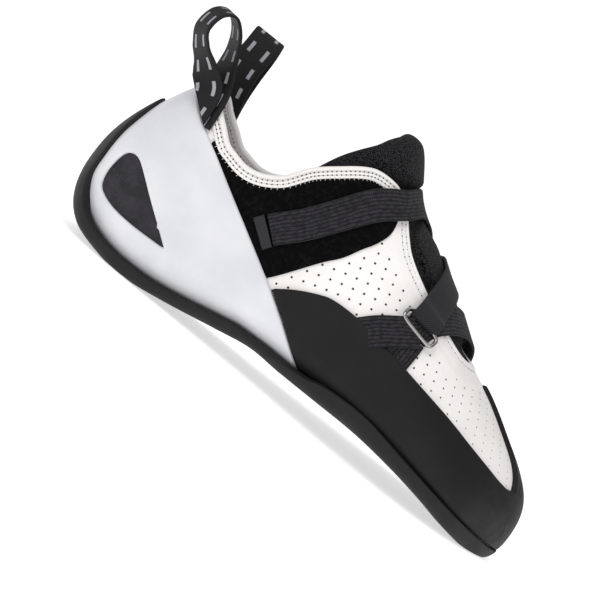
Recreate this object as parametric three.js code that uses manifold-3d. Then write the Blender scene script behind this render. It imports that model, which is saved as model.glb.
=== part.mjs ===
// A climbing shoe for the right foot, in millimetres, standing on its sole.
// +X points to the toe, +Z up, -Y is the outside of the foot. The origin is where the heel meets the floor.
import * as THREE from 'three';
import { mergeVertices } from 'three/addons/utils/BufferGeometryUtils.js';
import Module from 'manifold-3d';

const wasm = await Module();
wasm.setup();

// Driving sizes of the last and of the whole shoe
const shoeLength = 265;
const ballWidth = 91;
const heelWidth = 61;
const instepHeight = 114;
const heelHeight = 97;
const tongueHeight = 135;

// Thicknesses and widths of the pieces
const upperWall = 1.8;
const insoleThickness = 1.6;
const soleThickness = 5.2;
const soleOverhang = 2.6;
const heelStripThickness = 4.2;
const randThickness = 2.0;
const windowPanelThickness = 0.9;
const loopPanelThickness = 1.1;
const bindingWall = 1.1;
const bindingDepth = 6.4;
const tongueThickness = 3.2;
const tongueBulge = 1.9;
const tongueSwell = 3.7;
const tongueFlare = 5.2;
const webbingWidth = 15;
const webbingThickness = 1.4;
const ringLength = 21.5;
const ringHeight = 9;
const ringWire = 1.9;
const pullLoopWidth = 16;
const pullLoopThickness = 1.4;
const clearance = 0.3;

// Shares: where along the length the heel meets the floor, and how much of the last's width the
// insole and the opening in the upper's floor take up
const originShare = 0.16;
const insoleShare = 0.78;
const openingShare = 0.7;

// How finely the curved forms are cut into facets
const fine = { ringsPerRow: 2, facetsPerQuarter: 6 };
const plain = { ringsPerRow: 1, facetsPerQuarter: 4 };
const tipRows = 3;
const ribbonFacets = 3;
const ringCorners = 20;

const bodyWidth = Math.max(ballWidth, heelWidth);
const farAway = 3 * shoeLength;

function along(share) {
  return (share - originShare) * shoeLength;
}

function up(share) {
  return share * instepHeight;
}

function smoothstep(from, to, value) {
  const t = Math.min(1, Math.max(0, (value - from) / (to - from)));
  return t * t * (3 - 2 * t);
}

// The last's width passes from the heel's to the ball's along the arch
function widthAt(share) {
  return heelWidth + (ballWidth - heelWidth) * smoothstep(0.25, 0.6, share);
}

// One row for each section of the last, from the back of the heel to the tip of the toe.
// along is a share of the length; floor, crown and belly (where it is widest) are shares of the
// instep height; outside, inside and ridge are shares of the width there; outsideFull, insideFull
// and floorFlat say how full the section's sides are and how flat its floor is.
const lastColumns = [
  'along', 'floor', 'crown', 'belly', 'outside', 'inside', 'ridge', 'outsideFull', 'insideFull', 'floorFlat',
];
const lastRows = [
  [0.011, 0.333, 0.333, 0.333, 0.000, 0.000, 0.000, 2.0, 2.0, 2.2],
  [0.016, 0.228, 0.447, 0.316, 0.172, 0.167, 0.000, 2.1, 2.1, 2.4],
  [0.034, 0.146, 0.576, 0.298, 0.320, 0.311, 0.000, 2.3, 2.3, 2.8],
  [0.066, 0.088, 0.737, 0.281, 0.420, 0.410, 0.000, 2.5, 2.5, 3.4],
  [0.115, 0.050, 0.917, 0.263, 0.485, 0.469, 0.000, 2.7, 2.7, 4.0],
  [0.179, 0.037, 1.053, 0.246, 0.518, 0.485, 0.000, 2.8, 2.8, 4.4],
  [0.266, 0.067, 1.140, 0.246, 0.539, 0.468, 0.000, 2.8, 2.8, 4.6],
  [0.356, 0.111, 1.184, 0.263, 0.527, 0.408, 0.007, 2.6, 2.7, 4.6],
  [0.432, 0.146, 1.149, 0.272, 0.507, 0.367, 0.020, 2.2, 2.4, 4.6],
  [0.500, 0.146, 0.974, 0.272, 0.501, 0.351, 0.029, 1.9, 2.2, 4.6],
  [0.583, 0.150, 0.851, 0.263, 0.513, 0.370, 0.044, 1.8, 2.1, 4.8],
  [0.666, 0.152, 0.723, 0.246, 0.534, 0.429, 0.060, 1.8, 2.1, 5.0],
  [0.745, 0.136, 0.600, 0.219, 0.516, 0.479, 0.088, 1.8, 2.1, 5.0],
  [0.817, 0.108, 0.516, 0.184, 0.451, 0.510, 0.121, 1.8, 2.1, 5.0],
  [0.877, 0.073, 0.432, 0.154, 0.336, 0.514, 0.154, 1.9, 2.1, 5.0],
  [0.926, 0.046, 0.360, 0.132, 0.171, 0.481, 0.187, 2.0, 2.1, 4.8],
  [0.962, 0.029, 0.288, 0.118, 0.000, 0.418, 0.209, 2.1, 2.1, 4.2],
  [0.980, 0.040, 0.211, 0.111, -0.121, 0.330, 0.220, 2.1, 2.1, 3.2],
  [0.986, 0.109, 0.109, 0.109, -0.220, 0.220, 0.220, 2.0, 2.0, 2.4],
];
const lastSpan = lastRows.length - 1;

// Beyond each tip the last turns over on itself, which keeps the tip round
function turnedOver(row) {
  const turned = [...row];
  [turned[1], turned[2]] = [row[2], row[1]];
  [turned[4], turned[5]] = [-row[5], -row[4]];
  return turned;
}

// The section at a place t, counted in rows and passing smoothly through each of them
function sectionAt(t) {
  const row = Math.min(lastSpan - 1, Math.max(0, Math.floor(t)));
  const f = t - row;
  const before = row === 0 ? turnedOver(lastRows[1]) : lastRows[row - 1];
  const after = row === lastSpan - 1 ? turnedOver(lastRows[lastSpan - 1]) : lastRows[row + 2];
  const section = {};
  lastColumns.forEach((name, column) => {
    const [a, b, c, d] = [before[column], lastRows[row][column], lastRows[row + 1][column], after[column]];
    const cubic = 3 * b - a - 3 * c + d;
    section[name] = 0.5 * (2 * b + (c - a) * f + (2 * a - 5 * b + 4 * c - d) * f * f + cubic * f ** 3);
  });
  return section;
}

// How much of the sole's squareness its lower edge takes
const soleEdgeShare = 0.5;

// A point of the last at t rows and at turn quarters round: 0 the crest, 1 the outside belly, 2 the
// floor, 3 the inside belly. The sole's form lies lower by drop and has a squarer floor.
function lastPoint(t, turn, sole = { drop: 0, squareness: 0 }) {
  const section = sectionAt(t);
  const width = widthAt(section.along);
  const nearTip = Math.min(1, t / tipRows, (lastSpan - t) / tipRows);
  const floor = up(section.floor) - sole.drop * nearTip;
  const belly = Math.min(up(section.crown), Math.max(floor, up(section.belly)));
  const ridge = section.ridge * width;
  const wrapped = ((turn % 4) + 4) % 4;
  const angle = Math.abs(wrapped > 2 ? 4 - wrapped : wrapped) * Math.PI / 2;
  const isOutside = wrapped <= 2;
  const side = isOutside ? -section.outside * width : section.inside * width;
  const above = angle <= Math.PI / 2;
  const flatness = above ? 2 : section.floorFlat + sole.squareness * nearTip;
  const below = 2 + sole.squareness * nearTip * soleEdgeShare;
  const fullness = above ? (isOutside ? section.outsideFull : section.insideFull) : below;
  const across = Math.abs(Math.sin(angle)) ** (2 / flatness);
  const rise = Math.abs(Math.cos(angle)) ** (2 / fullness);
  const reach = above ? up(section.crown) - belly : floor - belly;
  return new THREE.Vector3(along(section.along), ridge + (side - ridge) * across, belly + reach * rise);
}

const nudge = 0.02;

// The outward normal of the last there
function lastNormal(t, turn, sole) {
  const back = Math.max(0, t - nudge);
  const front = Math.min(lastSpan, t + nudge);
  if (t <= 0 || t >= lastSpan) return new THREE.Vector3(t <= 0 ? -1 : 1, 0, 0);
  const forward = lastPoint(front, turn, sole).sub(lastPoint(back, turn, sole));
  const round = lastPoint(t, turn + nudge, sole).sub(lastPoint(t, turn - nudge, sole));
  return round.cross(forward).normalize();
}

function toSolid(geometry) {
  const bare = geometry.index ? geometry.clone() : geometry;
  bare.deleteAttribute('normal');
  bare.deleteAttribute('uv');
  const merged = mergeVertices(bare, 1e-4);
  const vertProperties = new Float32Array(merged.attributes.position.array);
  const triVerts = new Uint32Array(merged.index.array);
  return new wasm.Manifold(new wasm.Mesh({ numProp: 3, vertProperties, triVerts }));
}

function toGeometry(solid) {
  const mesh = solid.getMesh();
  const geometry = new THREE.BufferGeometry();
  geometry.setAttribute('position', new THREE.BufferAttribute(new Float32Array(mesh.vertProperties), 3));
  geometry.setIndex(new THREE.BufferAttribute(new Uint32Array(mesh.triVerts), 1));
  geometry.computeVertexNormals();
  return geometry;
}

function gridGeometry(points, triangles) {
  const geometry = new THREE.BufferGeometry();
  const flat = points.flatMap((point) => [point.x, point.y, point.z]);
  geometry.setAttribute('position', new THREE.BufferAttribute(new Float32Array(flat), 3));
  geometry.setIndex(triangles);
  return geometry;
}

// Where the form's rings lie, counted in rows: one a row at the tips, where the rows are close together
function ringPlaces(ringsPerRow) {
  const places = [];
  for (let row = 0; row < lastSpan; row += 1) {
    const isClose = row < tipRows || row >= lastSpan - tipRows;
    const count = isClose ? 1 : ringsPerRow;
    for (let step = 0; step < count; step += 1) places.push(row + step / count);
  }
  places.push(lastSpan);
  return places;
}

// A closed solid of the last's shape, grown outward by a distance, or by a function of the place.
// sole = { drop, squareness } lowers and squares its floor.
function form(grow, sole, { ringsPerRow, facetsPerQuarter } = fine) {
  const places = ringPlaces(ringsPerRow);
  const rings = places.length - 1;
  const facets = 4 * facetsPerQuarter;
  const growAt = typeof grow === 'function' ? grow : () => grow;
  const points = [];
  const triangles = [];
  for (let ring = 0; ring <= rings; ring += 1) {
    const t = places[ring];
    const isTip = ring === 0 || ring === rings;
    const count = isTip ? 1 : facets;
    for (let facet = 0; facet < count; facet += 1) {
      const turn = facet / facetsPerQuarter;
      const point = lastPoint(t, turn, sole);
      const normal = lastNormal(t, turn, sole);
      points.push(point.clone().addScaledVector(normal, growAt(point, normal)));
    }
  }
  const start = (ring) => (ring === 0 ? 0 : 1 + (ring - 1) * facets);
  for (let ring = 0; ring < rings; ring += 1) {
    for (let facet = 0; facet < facets; facet += 1) {
      const next = (facet + 1) % facets;
      const a = start(ring) + (ring === 0 ? 0 : facet);
      const b = start(ring) + (ring === 0 ? 0 : next);
      const c = start(ring + 1) + (ring === rings - 1 ? 0 : facet);
      const d = start(ring + 1) + (ring === rings - 1 ? 0 : next);
      if (ring < rings - 1) triangles.push(a, d, c);
      if (ring > 0) triangles.push(a, b, d);
    }
  }
  return toSolid(gridGeometry(points, triangles));
}

function shell(outer, inner) {
  return form(outer).subtract(form(inner));
}

// Outlines in the side view, from rows of [along, up], made smooth through their points
function sideCurve(rows, steps = 4, height = instepHeight) {
  const points = rows.map(([share, rise]) => new THREE.Vector2(along(share), rise * height));
  return new THREE.SplineCurve(points).getPoints(steps * (points.length - 1));
}

function planCurve(rows, steps = 4) {
  const points = rows.map(([share, across]) => new THREE.Vector2(along(share), across * ballWidth));
  return new THREE.SplineCurve(points).getPoints(steps * (points.length - 1));
}

function corner(share, rise) {
  return new THREE.Vector2(along(share), up(rise));
}

// The line moved sideways by a distance, to its left as it runs
function shifted(line, distance) {
  return line.map((point, index) => {
    const before = line[Math.max(0, index - 1)];
    const after = line[Math.min(line.length - 1, index + 1)];
    const direction = after.clone().sub(before).normalize();
    return new THREE.Vector2(point.x - direction.y * distance, point.y + direction.x * distance);
  });
}

// A region seen from the side, between two places across the shoe
function sidePrism(outline, from = -bodyWidth, to = bodyWidth) {
  const shape = new THREE.Shape(outline);
  const geometry = new THREE.ExtrudeGeometry(shape, { depth: to - from, bevelEnabled: false });
  geometry.rotateX(Math.PI / 2);
  geometry.translate(0, to, 0);
  return toSolid(geometry);
}

// A region seen from above, between two heights
function planPrism(outline, from, to) {
  const shape = new THREE.Shape(outline);
  const geometry = new THREE.ExtrudeGeometry(shape, { depth: to - from, bevelEnabled: false });
  geometry.translate(0, 0, from);
  return toSolid(geometry);
}

// The collar's edge runs from the heel tab down round the ankle and up to its peak, and goes on as
// the throat's edge down to the vamp
const heelTabLine = sideCurve([
  [0.020, 1.010], [0.085, 1.000], [0.112, 0.975], [0.135, 0.915], [0.162, 0.862],
], 1, heelHeight);
const collarLine = sideCurve([
  [0.186, 0.692], [0.225, 0.671], [0.252, 0.677], [0.275, 0.702], [0.295, 0.741],
  [0.321, 0.826], [0.360, 0.906], [0.388, 0.957], [0.411, 0.984], [0.436, 0.990], [0.458, 0.982],
  [0.480, 0.955],
], 1);
const throatLine = sideCurve([
  [0.504, 0.911], [0.529, 0.850], [0.556, 0.797], [0.605, 0.734], [0.655, 0.680], [0.703, 0.630],
  [0.728, 0.608], [0.752, 0.598], [0.770, 0.606],
], 1);
const ankleLine = [...heelTabLine, ...collarLine];

function collarHeight(x) {
  const line = [...ankleLine, ...throatLine];
  const index = line.findIndex((point) => point.x > x);
  if (index < 0) return line[line.length - 1].y;
  if (index === 0) return line[0].y;
  const [a, b] = [line[index - 1], line[index]];
  return a.y + (b.y - a.y) * (x - a.x) / (b.x - a.x);
}

// All that lies above the collar's and the throat's edge, with the collar's part lowered or the
// throat's part raised
function mouth(lowered, raised = 0) {
  const edge = [...shifted(ankleLine, -lowered), ...shifted(throatLine, raised)];
  const roof = tongueHeight * 2;
  const ends = [new THREE.Vector2(along(0.8), roof), new THREE.Vector2(-shoeLength, roof)];
  return sidePrism([new THREE.Vector2(-shoeLength, edge[0].y), ...edge, ...ends]);
}

// The last's plan, narrowed to a share of its width at each section
function narrowedPlan(share) {
  const outside = [];
  const inside = [];
  for (let row = tipRows; row < lastSpan - tipRows + 1; row += 1) {
    const section = sectionAt(row);
    const width = widthAt(section.along);
    const middle = (section.inside - section.outside) / 2 * width;
    const half = (section.inside + section.outside) / 2 * width * share;
    outside.push(new THREE.Vector2(along(section.along), middle - half));
    inside.unshift(new THREE.Vector2(along(section.along), middle + half));
  }
  return [...outside, ...inside];
}

// The level under the shoe down to which the regions of the rands and the sole reach
const underFloor = -up(0.3);

// The edge where the outsole's side ends, from the tip of the heel strip round to the toe
const soleLine = sideCurve([
  [0.040, 0.690], [0.029, 0.560], [0.022, 0.462], [0.021, 0.390], [0.023, 0.310], [0.026, 0.235],
  [0.041, 0.160], [0.063, 0.106], [0.095, 0.073], [0.138, 0.056], [0.182, 0.054], [0.232, 0.058],
  [0.295, 0.084], [0.383, 0.135], [0.405, 0.139], [0.433, 0.134], [0.532, 0.157], [0.573, 0.183],
  [0.628, 0.199], [0.677, 0.196], [0.718, 0.181], [0.840, 0.127], [0.940, 0.076], [0.990, 0.052],
], 1);

function soleRegion(lift) {
  const line = shifted(soleLine, lift);
  const ends = [new THREE.Vector2(farAway, line[line.length - 1].y), new THREE.Vector2(farAway, underFloor)];
  const back = [new THREE.Vector2(-farAway, underFloor), new THREE.Vector2(-farAway, line[0].y)];
  return sidePrism([...line, ...ends, ...back]);
}

// The straight upper edge of the heel rand, down to where it meets the sole under the arch
const heelRandLine = sideCurve([
  [0.040, 0.840], [0.080, 0.768], [0.105, 0.717], [0.141, 0.666], [0.180, 0.623], [0.254, 0.530],
  [0.303, 0.470], [0.383, 0.371], [0.468, 0.254], [0.538, 0.150], [0.552, 0.128],
], 1);

function heelRandRegion(grow) {
  const line = shifted(heelRandLine, grow);
  const rear = [new THREE.Vector2(-farAway, underFloor), new THREE.Vector2(-farAway, line[0].y)];
  return sidePrism([...line, new THREE.Vector2(line[line.length - 1].x, underFloor), ...rear]);
}

const windowCorners = [
  [0.062, 0.409], [0.077, 0.412], [0.098, 0.385], [0.144, 0.308], [0.211, 0.202], [0.205, 0.195],
  [0.150, 0.192], [0.108, 0.194], [0.079, 0.206], [0.057, 0.232], [0.049, 0.285], [0.049, 0.340],
  [0.053, 0.385],
];
const windowMiddle = [0.105, 0.280];
const windowNarrow = 0.055;

// The window's opening, or a piece that stands inside it with a gap all round
function windowRegion(gap, from, to) {
  const outline = windowCorners.map(([share, rise]) => corner(share, rise));
  const middle = corner(windowMiddle[0], windowMiddle[1]);
  const scale = 1 - gap / up(windowNarrow);
  return sidePrism(outline.map((point) => point.clone().lerp(middle, 1 - scale)), from, to);
}

// The toe rand's upper edge on the outside, and the higher one on the inside over the big toe
const toeRandOutside = sideCurve([
  [0.380, 0.318], [0.396, 0.343], [0.434, 0.408], [0.474, 0.457], [0.501, 0.475], [0.553, 0.479],
  [0.600, 0.465], [0.664, 0.441], [0.770, 0.392], [0.833, 0.354], [0.881, 0.323], [0.918, 0.298],
  [0.944, 0.291], [1.050, 0.291],
], 1);
const toeRandInside = sideCurve([
  [0.380, 0.318], [0.410, 0.370], [0.460, 0.440], [0.530, 0.480], [0.610, 0.490], [0.680, 0.490],
  [0.730, 0.496], [0.770, 0.515], [0.795, 0.560], [0.812, 0.640],
], 1);
// Seen from above, the edge of the toe rand along the crest and round the tip of the vamp
const toeRandCrest = planCurve([
  [0.600, 0.060], [0.700, 0.120], [0.760, 0.155], [0.815, 0.172], [0.860, 0.166], [0.895, 0.142],
  [0.920, 0.104], [0.938, 0.050], [0.946, -0.010], [0.944, -0.080],
], 2);

function toeRandRegion(grow = 0) {
  const under = (edge) => {
    const line = shifted(edge, grow);
    const last = line[line.length - 1];
    return [...line, new THREE.Vector2(last.x, underFloor), new THREE.Vector2(line[0].x, underFloor)];
  };
  const overTop = new THREE.Vector2(along(1.1), up(0.7));
  const inside = sidePrism(under([...toeRandInside, overTop]));
  const farSide = [
    new THREE.Vector2(along(0.944), -bodyWidth), new THREE.Vector2(farAway, -bodyWidth),
    new THREE.Vector2(farAway, bodyWidth), new THREE.Vector2(along(0.3), bodyWidth),
    new THREE.Vector2(along(0.3), 0),
  ];
  const plan = planPrism([...toeRandCrest, ...farSide], underFloor, up(2));
  return sidePrism(under(toeRandOutside)).add(inside.intersect(plan));
}

// The front edge of the nap panel, which fills the outside between the binding and the heel rand
const loopPanelFront = sideCurve([
  [0.448, 1.040], [0.470, 0.945], [0.491, 0.880], [0.499, 0.815], [0.492, 0.753], [0.479, 0.699],
  [0.462, 0.624], [0.438, 0.553], [0.385, 0.378], [0.360, 0.340],
], 1);
const loopPanelBack = 0.160;

// The tongue's free edge above the collar, and its hidden margins inside
const tongueEdge = sideCurve([
  [0.300, 0.640], [0.312, 0.760], [0.322, 0.832], [0.342, 0.940], [0.363, 1.020], [0.382, 1.082],
  [0.393, 1.128], [0.404, 1.158],
], 1);
const tongueMargin = [
  [0.790, 0.560], [0.730, 0.510], [0.640, 0.560], [0.560, 0.640], [0.500, 0.720], [0.430, 0.740],
  [0.360, 0.700],
];

function buildUpper() {
  const opening = planPrism(narrowedPlan(openingShare), -up(0.1), up(0.2));
  const edge = mouth(bindingWall + clearance);
  return shell(0, -upperWall).subtract(edge).subtract(opening);
}

function buildInsole() {
  const top = -upperWall - 2 * clearance;
  const region = planPrism(narrowedPlan(insoleShare), -up(0.1), up(0.195));
  const layer = form(top, undefined, plain).subtract(form(top - insoleThickness, undefined, plain));
  return layer.intersect(region);
}

function soleGrow(point) {
  const atHeel = 1 - smoothstep(along(0.03), along(0.12), point.x);
  return soleOverhang + (heelStripThickness - soleOverhang) * atHeel;
}

function buildOutsole() {
  const outer = form(soleGrow, { drop: soleThickness - soleOverhang, squareness: 5 });
  const floorCut = planPrism([
    new THREE.Vector2(-farAway, -farAway), new THREE.Vector2(farAway, -farAway),
    new THREE.Vector2(farAway, farAway), new THREE.Vector2(-farAway, farAway),
  ], -farAway, 0);
  return outer.intersect(soleRegion(0)).subtract(form(clearance)).subtract(floorCut);
}

function buildHeelRand() {
  const region = heelRandRegion(0).subtract(soleRegion(clearance));
  const band = shell(randThickness + clearance, clearance).intersect(region);
  return band.subtract(windowRegion(0, -bodyWidth, bodyWidth));
}

function buildWindowPanel(from, to) {
  const panel = shell(windowPanelThickness + clearance, clearance);
  return panel.intersect(windowRegion(clearance, from, to));
}

function buildToeRand() {
  const region = toeRandRegion().subtract(soleRegion(clearance)).subtract(heelRandRegion(clearance));
  return shell(randThickness + clearance, clearance).intersect(region);
}

function buildLoopPanel() {
  const rear = [corner(loopPanelBack, 0.300), corner(loopPanelBack, 1.040)];
  const region = sidePrism([...rear, ...loopPanelFront], -bodyWidth, 0);
  const panel = shell(loopPanelThickness + clearance, clearance).intersect(region);
  return panel.subtract(heelRandRegion(clearance)).subtract(mouth(bindingDepth + clearance));
}

function buildBinding() {
  const bottom = shifted(ankleLine, -bindingDepth).reverse();
  const edgeRegion = sidePrism([...ankleLine, ...bottom]);
  const outer = bindingWall + clearance;
  const channel = shell(clearance, -upperWall - clearance);
  const keepOut = channel.subtract(mouth(bindingWall));
  const rolled = shell(outer, -upperWall - outer).intersect(edgeRegion);
  return rolled.subtract(keepOut).subtract(heelRandRegion(clearance));
}

// The room that the upper's wall takes up, with its clearance
function throatWall() {
  return shell(clearance, -upperWall - clearance).subtract(mouth(0, clearance));
}

// The room that the binding takes up, with its clearance
function bindingRoom() {
  const outer = bindingWall + 2 * clearance;
  const top = shifted(ankleLine, clearance);
  const bottom = shifted(ankleLine, -bindingDepth - clearance).reverse();
  return shell(outer, -upperWall - outer).intersect(sidePrism([...top, ...bottom]));
}

// The tongue lies inside the upper and the binding. It bulges out where the throat leaves it bare,
// swells further between the straps and flares forward at its free top.
function tongueGrow(point) {
  const atCollar = 1 - smoothstep(along(0.485), along(0.54), point.x);
  const lining = (bindingWall + 2 * clearance) * atCollar;
  const belowStrap = smoothstep(along(0.53), along(0.58), point.x);
  const bulge = tongueBulge + (tongueSwell - tongueBulge) * belowStrap;
  const start = up(0.02) + up(0.19) * atCollar;
  const ramp = up(0.015) + up(0.055) * atCollar;
  const bare = smoothstep(start, start + ramp, point.z - collarHeight(point.x));
  const flare = smoothstep(up(1.02), up(1.09), point.z) * smoothstep(along(0.39), along(0.46), point.x);
  return -upperWall - clearance - lining + (bulge + lining) * bare + tongueFlare * flare;
}

function buildTongue() {
  const rise = tongueHeight / up(1.184);
  const free = tongueEdge.map((point) => new THREE.Vector2(point.x, point.y * rise));
  const top = new THREE.Vector2(along(0.9), up(1.4));
  const margin = tongueMargin.map(([share, height]) => corner(share, height));
  const region = sidePrism([...free, new THREE.Vector2(along(0.43), up(1.4)), top, ...margin]);
  const body = form(tongueGrow).subtract(form((point) => tongueGrow(point) - tongueThickness));
  return body.intersect(region).subtract(throatWall()).subtract(bindingRoom());
}

// The place in rows where the last reaches a share of its length
function placeOf(share) {
  let low = 0;
  let high = lastSpan;
  while (high - low > 1e-8) {
    const middle = (low + high) / 2;
    if (sectionAt(middle).along < share) low = middle;
    else high = middle;
  }
  return (low + high) / 2;
}

function surface(share, turn) {
  return lastPoint(placeOf(share), turn);
}

function surfaceNormal(share, turn) {
  return lastNormal(placeOf(share), turn);
}

// The point of the surface that lies sideways of a place by a distance, found from the slopes there
function sideways(share, turn, direction, distance) {
  const step = 0.002;
  const lengthways = surface(share + step, turn).sub(surface(share - step, turn)).divideScalar(2 * step);
  const round = surface(share, turn + step).sub(surface(share, turn - step)).divideScalar(2 * step);
  const [a, b, c] = [lengthways.dot(lengthways), lengthways.dot(round), round.dot(round)];
  const [p, q] = [lengthways.dot(direction) * distance, round.dot(direction) * distance];
  const determinant = a * c - b * b;
  return [share + (p * c - q * b) / determinant, turn + (q * a - p * b) / determinant];
}

// A closed solid between two grids of points of the same size, station by station
function slab(upper, lower) {
  const across = upper[0].length;
  const points = [...upper.flat(), ...lower.flat()];
  const half = upper.length * across;
  const triangles = [];
  const quad = (a, b, c, d) => triangles.push(a, b, c, a, c, d);
  for (let station = 0; station < upper.length - 1; station += 1) {
    const row = station * across;
    for (let column = 0; column < across - 1; column += 1) {
      const a = row + column;
      quad(a, a + 1, a + across + 1, a + across);
      quad(half + a, half + a + across, half + a + across + 1, half + a + 1);
    }
    const end = row + across - 1;
    quad(row, row + across, half + row + across, half + row);
    quad(end, half + end, half + end + across, end + across);
  }
  const last = (upper.length - 1) * across;
  for (let column = 0; column < across - 1; column += 1) {
    quad(column, half + column, half + column + 1, column + 1);
    quad(last + column, last + column + 1, half + last + column + 1, half + last + column);
  }
  const solid = toSolid(gridGeometry(points, triangles));
  if (solid.volume() > 0) return solid;
  const turned = [];
  for (let index = 0; index < triangles.length; index += 3) {
    turned.push(triangles[index], triangles[index + 2], triangles[index + 1]);
  }
  return toSolid(gridGeometry(points, turned));
}

function smoothRoute(points) {
  return new THREE.CatmullRomCurve3(points, false, 'catmullrom', 0.5);
}

// A band that lies on the shoe along rows of [along, turn, lift], lift being its height over the upper
function band(rows, width, thickness, steps = 2) {
  const route = smoothRoute(rows.map((row) => new THREE.Vector3(...row)));
  const stations = route.getPoints(steps * (rows.length - 1));
  const at = stations.map((place) => surface(place.x, place.y));
  const upper = [];
  const lower = [];
  stations.forEach((place, index) => {
    const ahead = at[Math.min(at.length - 1, index + 1)];
    const behind = at[Math.max(0, index - 1)];
    const run = ahead.clone().sub(behind).normalize();
    const direction = surfaceNormal(place.x, place.y).cross(run).normalize();
    const top = [];
    const bottom = [];
    for (let column = 0; column <= ribbonFacets; column += 1) {
      const distance = (column / ribbonFacets - 0.5) * width;
      const [share, turn] = sideways(place.x, place.y, direction, distance);
      const point = surface(share, turn);
      const normal = surfaceNormal(share, turn);
      top.push(point.clone().addScaledVector(normal, place.z + thickness));
      bottom.push(point.clone().addScaledVector(normal, place.z));
    }
    upper.push(top);
    lower.push(bottom);
  });
  return slab(upper, lower);
}

// Heights over the upper: on it, where the instep hollows, on the nap panel, on another band, over a wire
const onUpper = clearance;
const onInstep = onUpper + 0.6;
const onPanel = clearance + loopPanelThickness + clearance;
const overEdge = onPanel + 0.4;
const onBand = onUpper + webbingThickness + clearance;
const onTongue = tongueSwell - upperWall + clearance;
const onTongueBand = onTongue + webbingThickness + clearance;
const ringMiddle = onBand + ringWire / 2;
const overWire = onBand + ringWire + 3 * clearance;
const foldDip = 0.6;

const upperStrapRoute = [
  [0.337, 0.875, onPanel], [0.383, 0.780, onPanel], [0.432, 0.600, overEdge], [0.484, 0.300, overEdge],
  [0.506, 0.000, onUpper + 0.4], [0.530, -0.250, onInstep], [0.555, -0.400, onUpper], [0.567, -0.480, onUpper],
];
const tagRoute = [[0.324, 0.902, onPanel], [0.3345, 0.8805, onPanel]];
const diagonalStrapRoute = [
  [0.638, 0.503, onBand + foldDip], [0.6378, 0.480, overWire], [0.6375, 0.457, overWire],
  [0.637, 0.425, overWire], [0.637, 0.370, onBand + 0.8], [0.631, 0.250, onTongueBand],
  [0.624, 0.130, onTongueBand], [0.616, 0.000, onTongue], [0.600, -0.220, onBand + 0.8],
  [0.586, -0.360, onBand + 0.8], [0.581, -0.415, overWire],
  [0.578, -0.448, overWire], [0.576, -0.475, overWire], [0.574, -0.500, onBand + foldDip],
];
const lowerStrapRoute = [
  [0.6395, 0.564, onUpper], [0.641, 0.490, onUpper], [0.652, 0.380, onUpper],
  [0.675, 0.200, onTongue], [0.697, 0.000, onTongue + 0.3], [0.712, -0.220, onTongue],
  [0.722, -0.400, onUpper], [0.726, -0.480, onUpper],
];
const outsideAnchorUnder = [
  [0.640, 0.800, onUpper], [0.640, 0.720, onUpper], [0.640, 0.640, onUpper], [0.6395, 0.580, onUpper],
];
const outsideAnchorOver = [
  [0.556, 0.830, onUpper], [0.570, 0.785, onUpper], [0.590, 0.720, onBand], [0.612, 0.650, onBand],
  [0.633, 0.580, onBand], [0.640, 0.550, onBand],
];
const insideAnchorRoute = [
  [0.566, -0.820, onUpper], [0.568, -0.700, onUpper], [0.571, -0.600, onUpper], [0.572, -0.548, onUpper],
];
const outsideRing = { rearEnd: [0.603, 0.550], frontEnd: [0.674, 0.490] };
const insideRing = { rearEnd: [0.537, -0.490], frontEnd: [0.607, -0.540] };

// A closed wire through points, round in section
function closedWire(middles, facing, thickness, sides = 6) {
  const count = middles.length;
  const points = [];
  const triangles = [];
  middles.forEach((middle, index) => {
    const run = middles[(index + 1) % count].clone().sub(middles[(index + count - 1) % count]).normalize();
    const outward = run.clone().cross(facing).normalize();
    for (let side = 0; side < sides; side += 1) {
      const angle = side / sides * 2 * Math.PI;
      const offset = outward.clone().multiplyScalar(Math.cos(angle)).addScaledVector(facing, Math.sin(angle));
      points.push(middle.clone().addScaledVector(offset, thickness / 2));
    }
  });
  for (let index = 0; index < count; index += 1) {
    for (let side = 0; side < sides; side += 1) {
      const a = index * sides + side;
      const b = index * sides + (side + 1) % sides;
      const c = (index + 1) % count * sides + side;
      const d = (index + 1) % count * sides + (side + 1) % sides;
      triangles.push(a, d, b, a, c, d);
    }
  }
  return toSolid(gridGeometry(points, triangles));
}

const ringRoundness = 0.5;

// A ring's rounded outline, as points [along its length, across it]
function ringOutline(length, height) {
  const points = [];
  for (let index = 0; index < ringCorners; index += 1) {
    const angle = index / ringCorners * 2 * Math.PI;
    const [c, s] = [Math.cos(angle), Math.sin(angle)];
    const x = Math.sign(c) * Math.abs(c) ** ringRoundness * length / 2;
    points.push([x, Math.sign(s) * Math.abs(s) ** ringRoundness * height / 2]);
  }
  return points;
}

// A ring's middle and its own directions, which stand on the bands between its two ends
function ringFrame({ rearEnd, frontEnd }) {
  const middle = [(rearEnd[0] + frontEnd[0]) / 2, (rearEnd[1] + frontEnd[1]) / 2];
  const facing = surfaceNormal(...middle);
  const long = surface(...frontEnd).sub(surface(...rearEnd));
  long.addScaledVector(facing, -long.dot(facing)).normalize();
  const short = facing.clone().cross(long);
  const seat = surface(...middle).addScaledVector(facing, ringMiddle);
  return { seat, long, short, facing };
}

// A flat rounded ring of wire
function buildRing(ring, thickness = ringWire) {
  const { seat, long, short, facing } = ringFrame(ring);
  const outline = ringOutline(ringLength - ringWire, ringHeight - ringWire);
  const middles = outline.map(([x, y]) => seat.clone().addScaledVector(long, x).addScaledVector(short, y));
  return closedWire(middles, facing, thickness);
}

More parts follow.
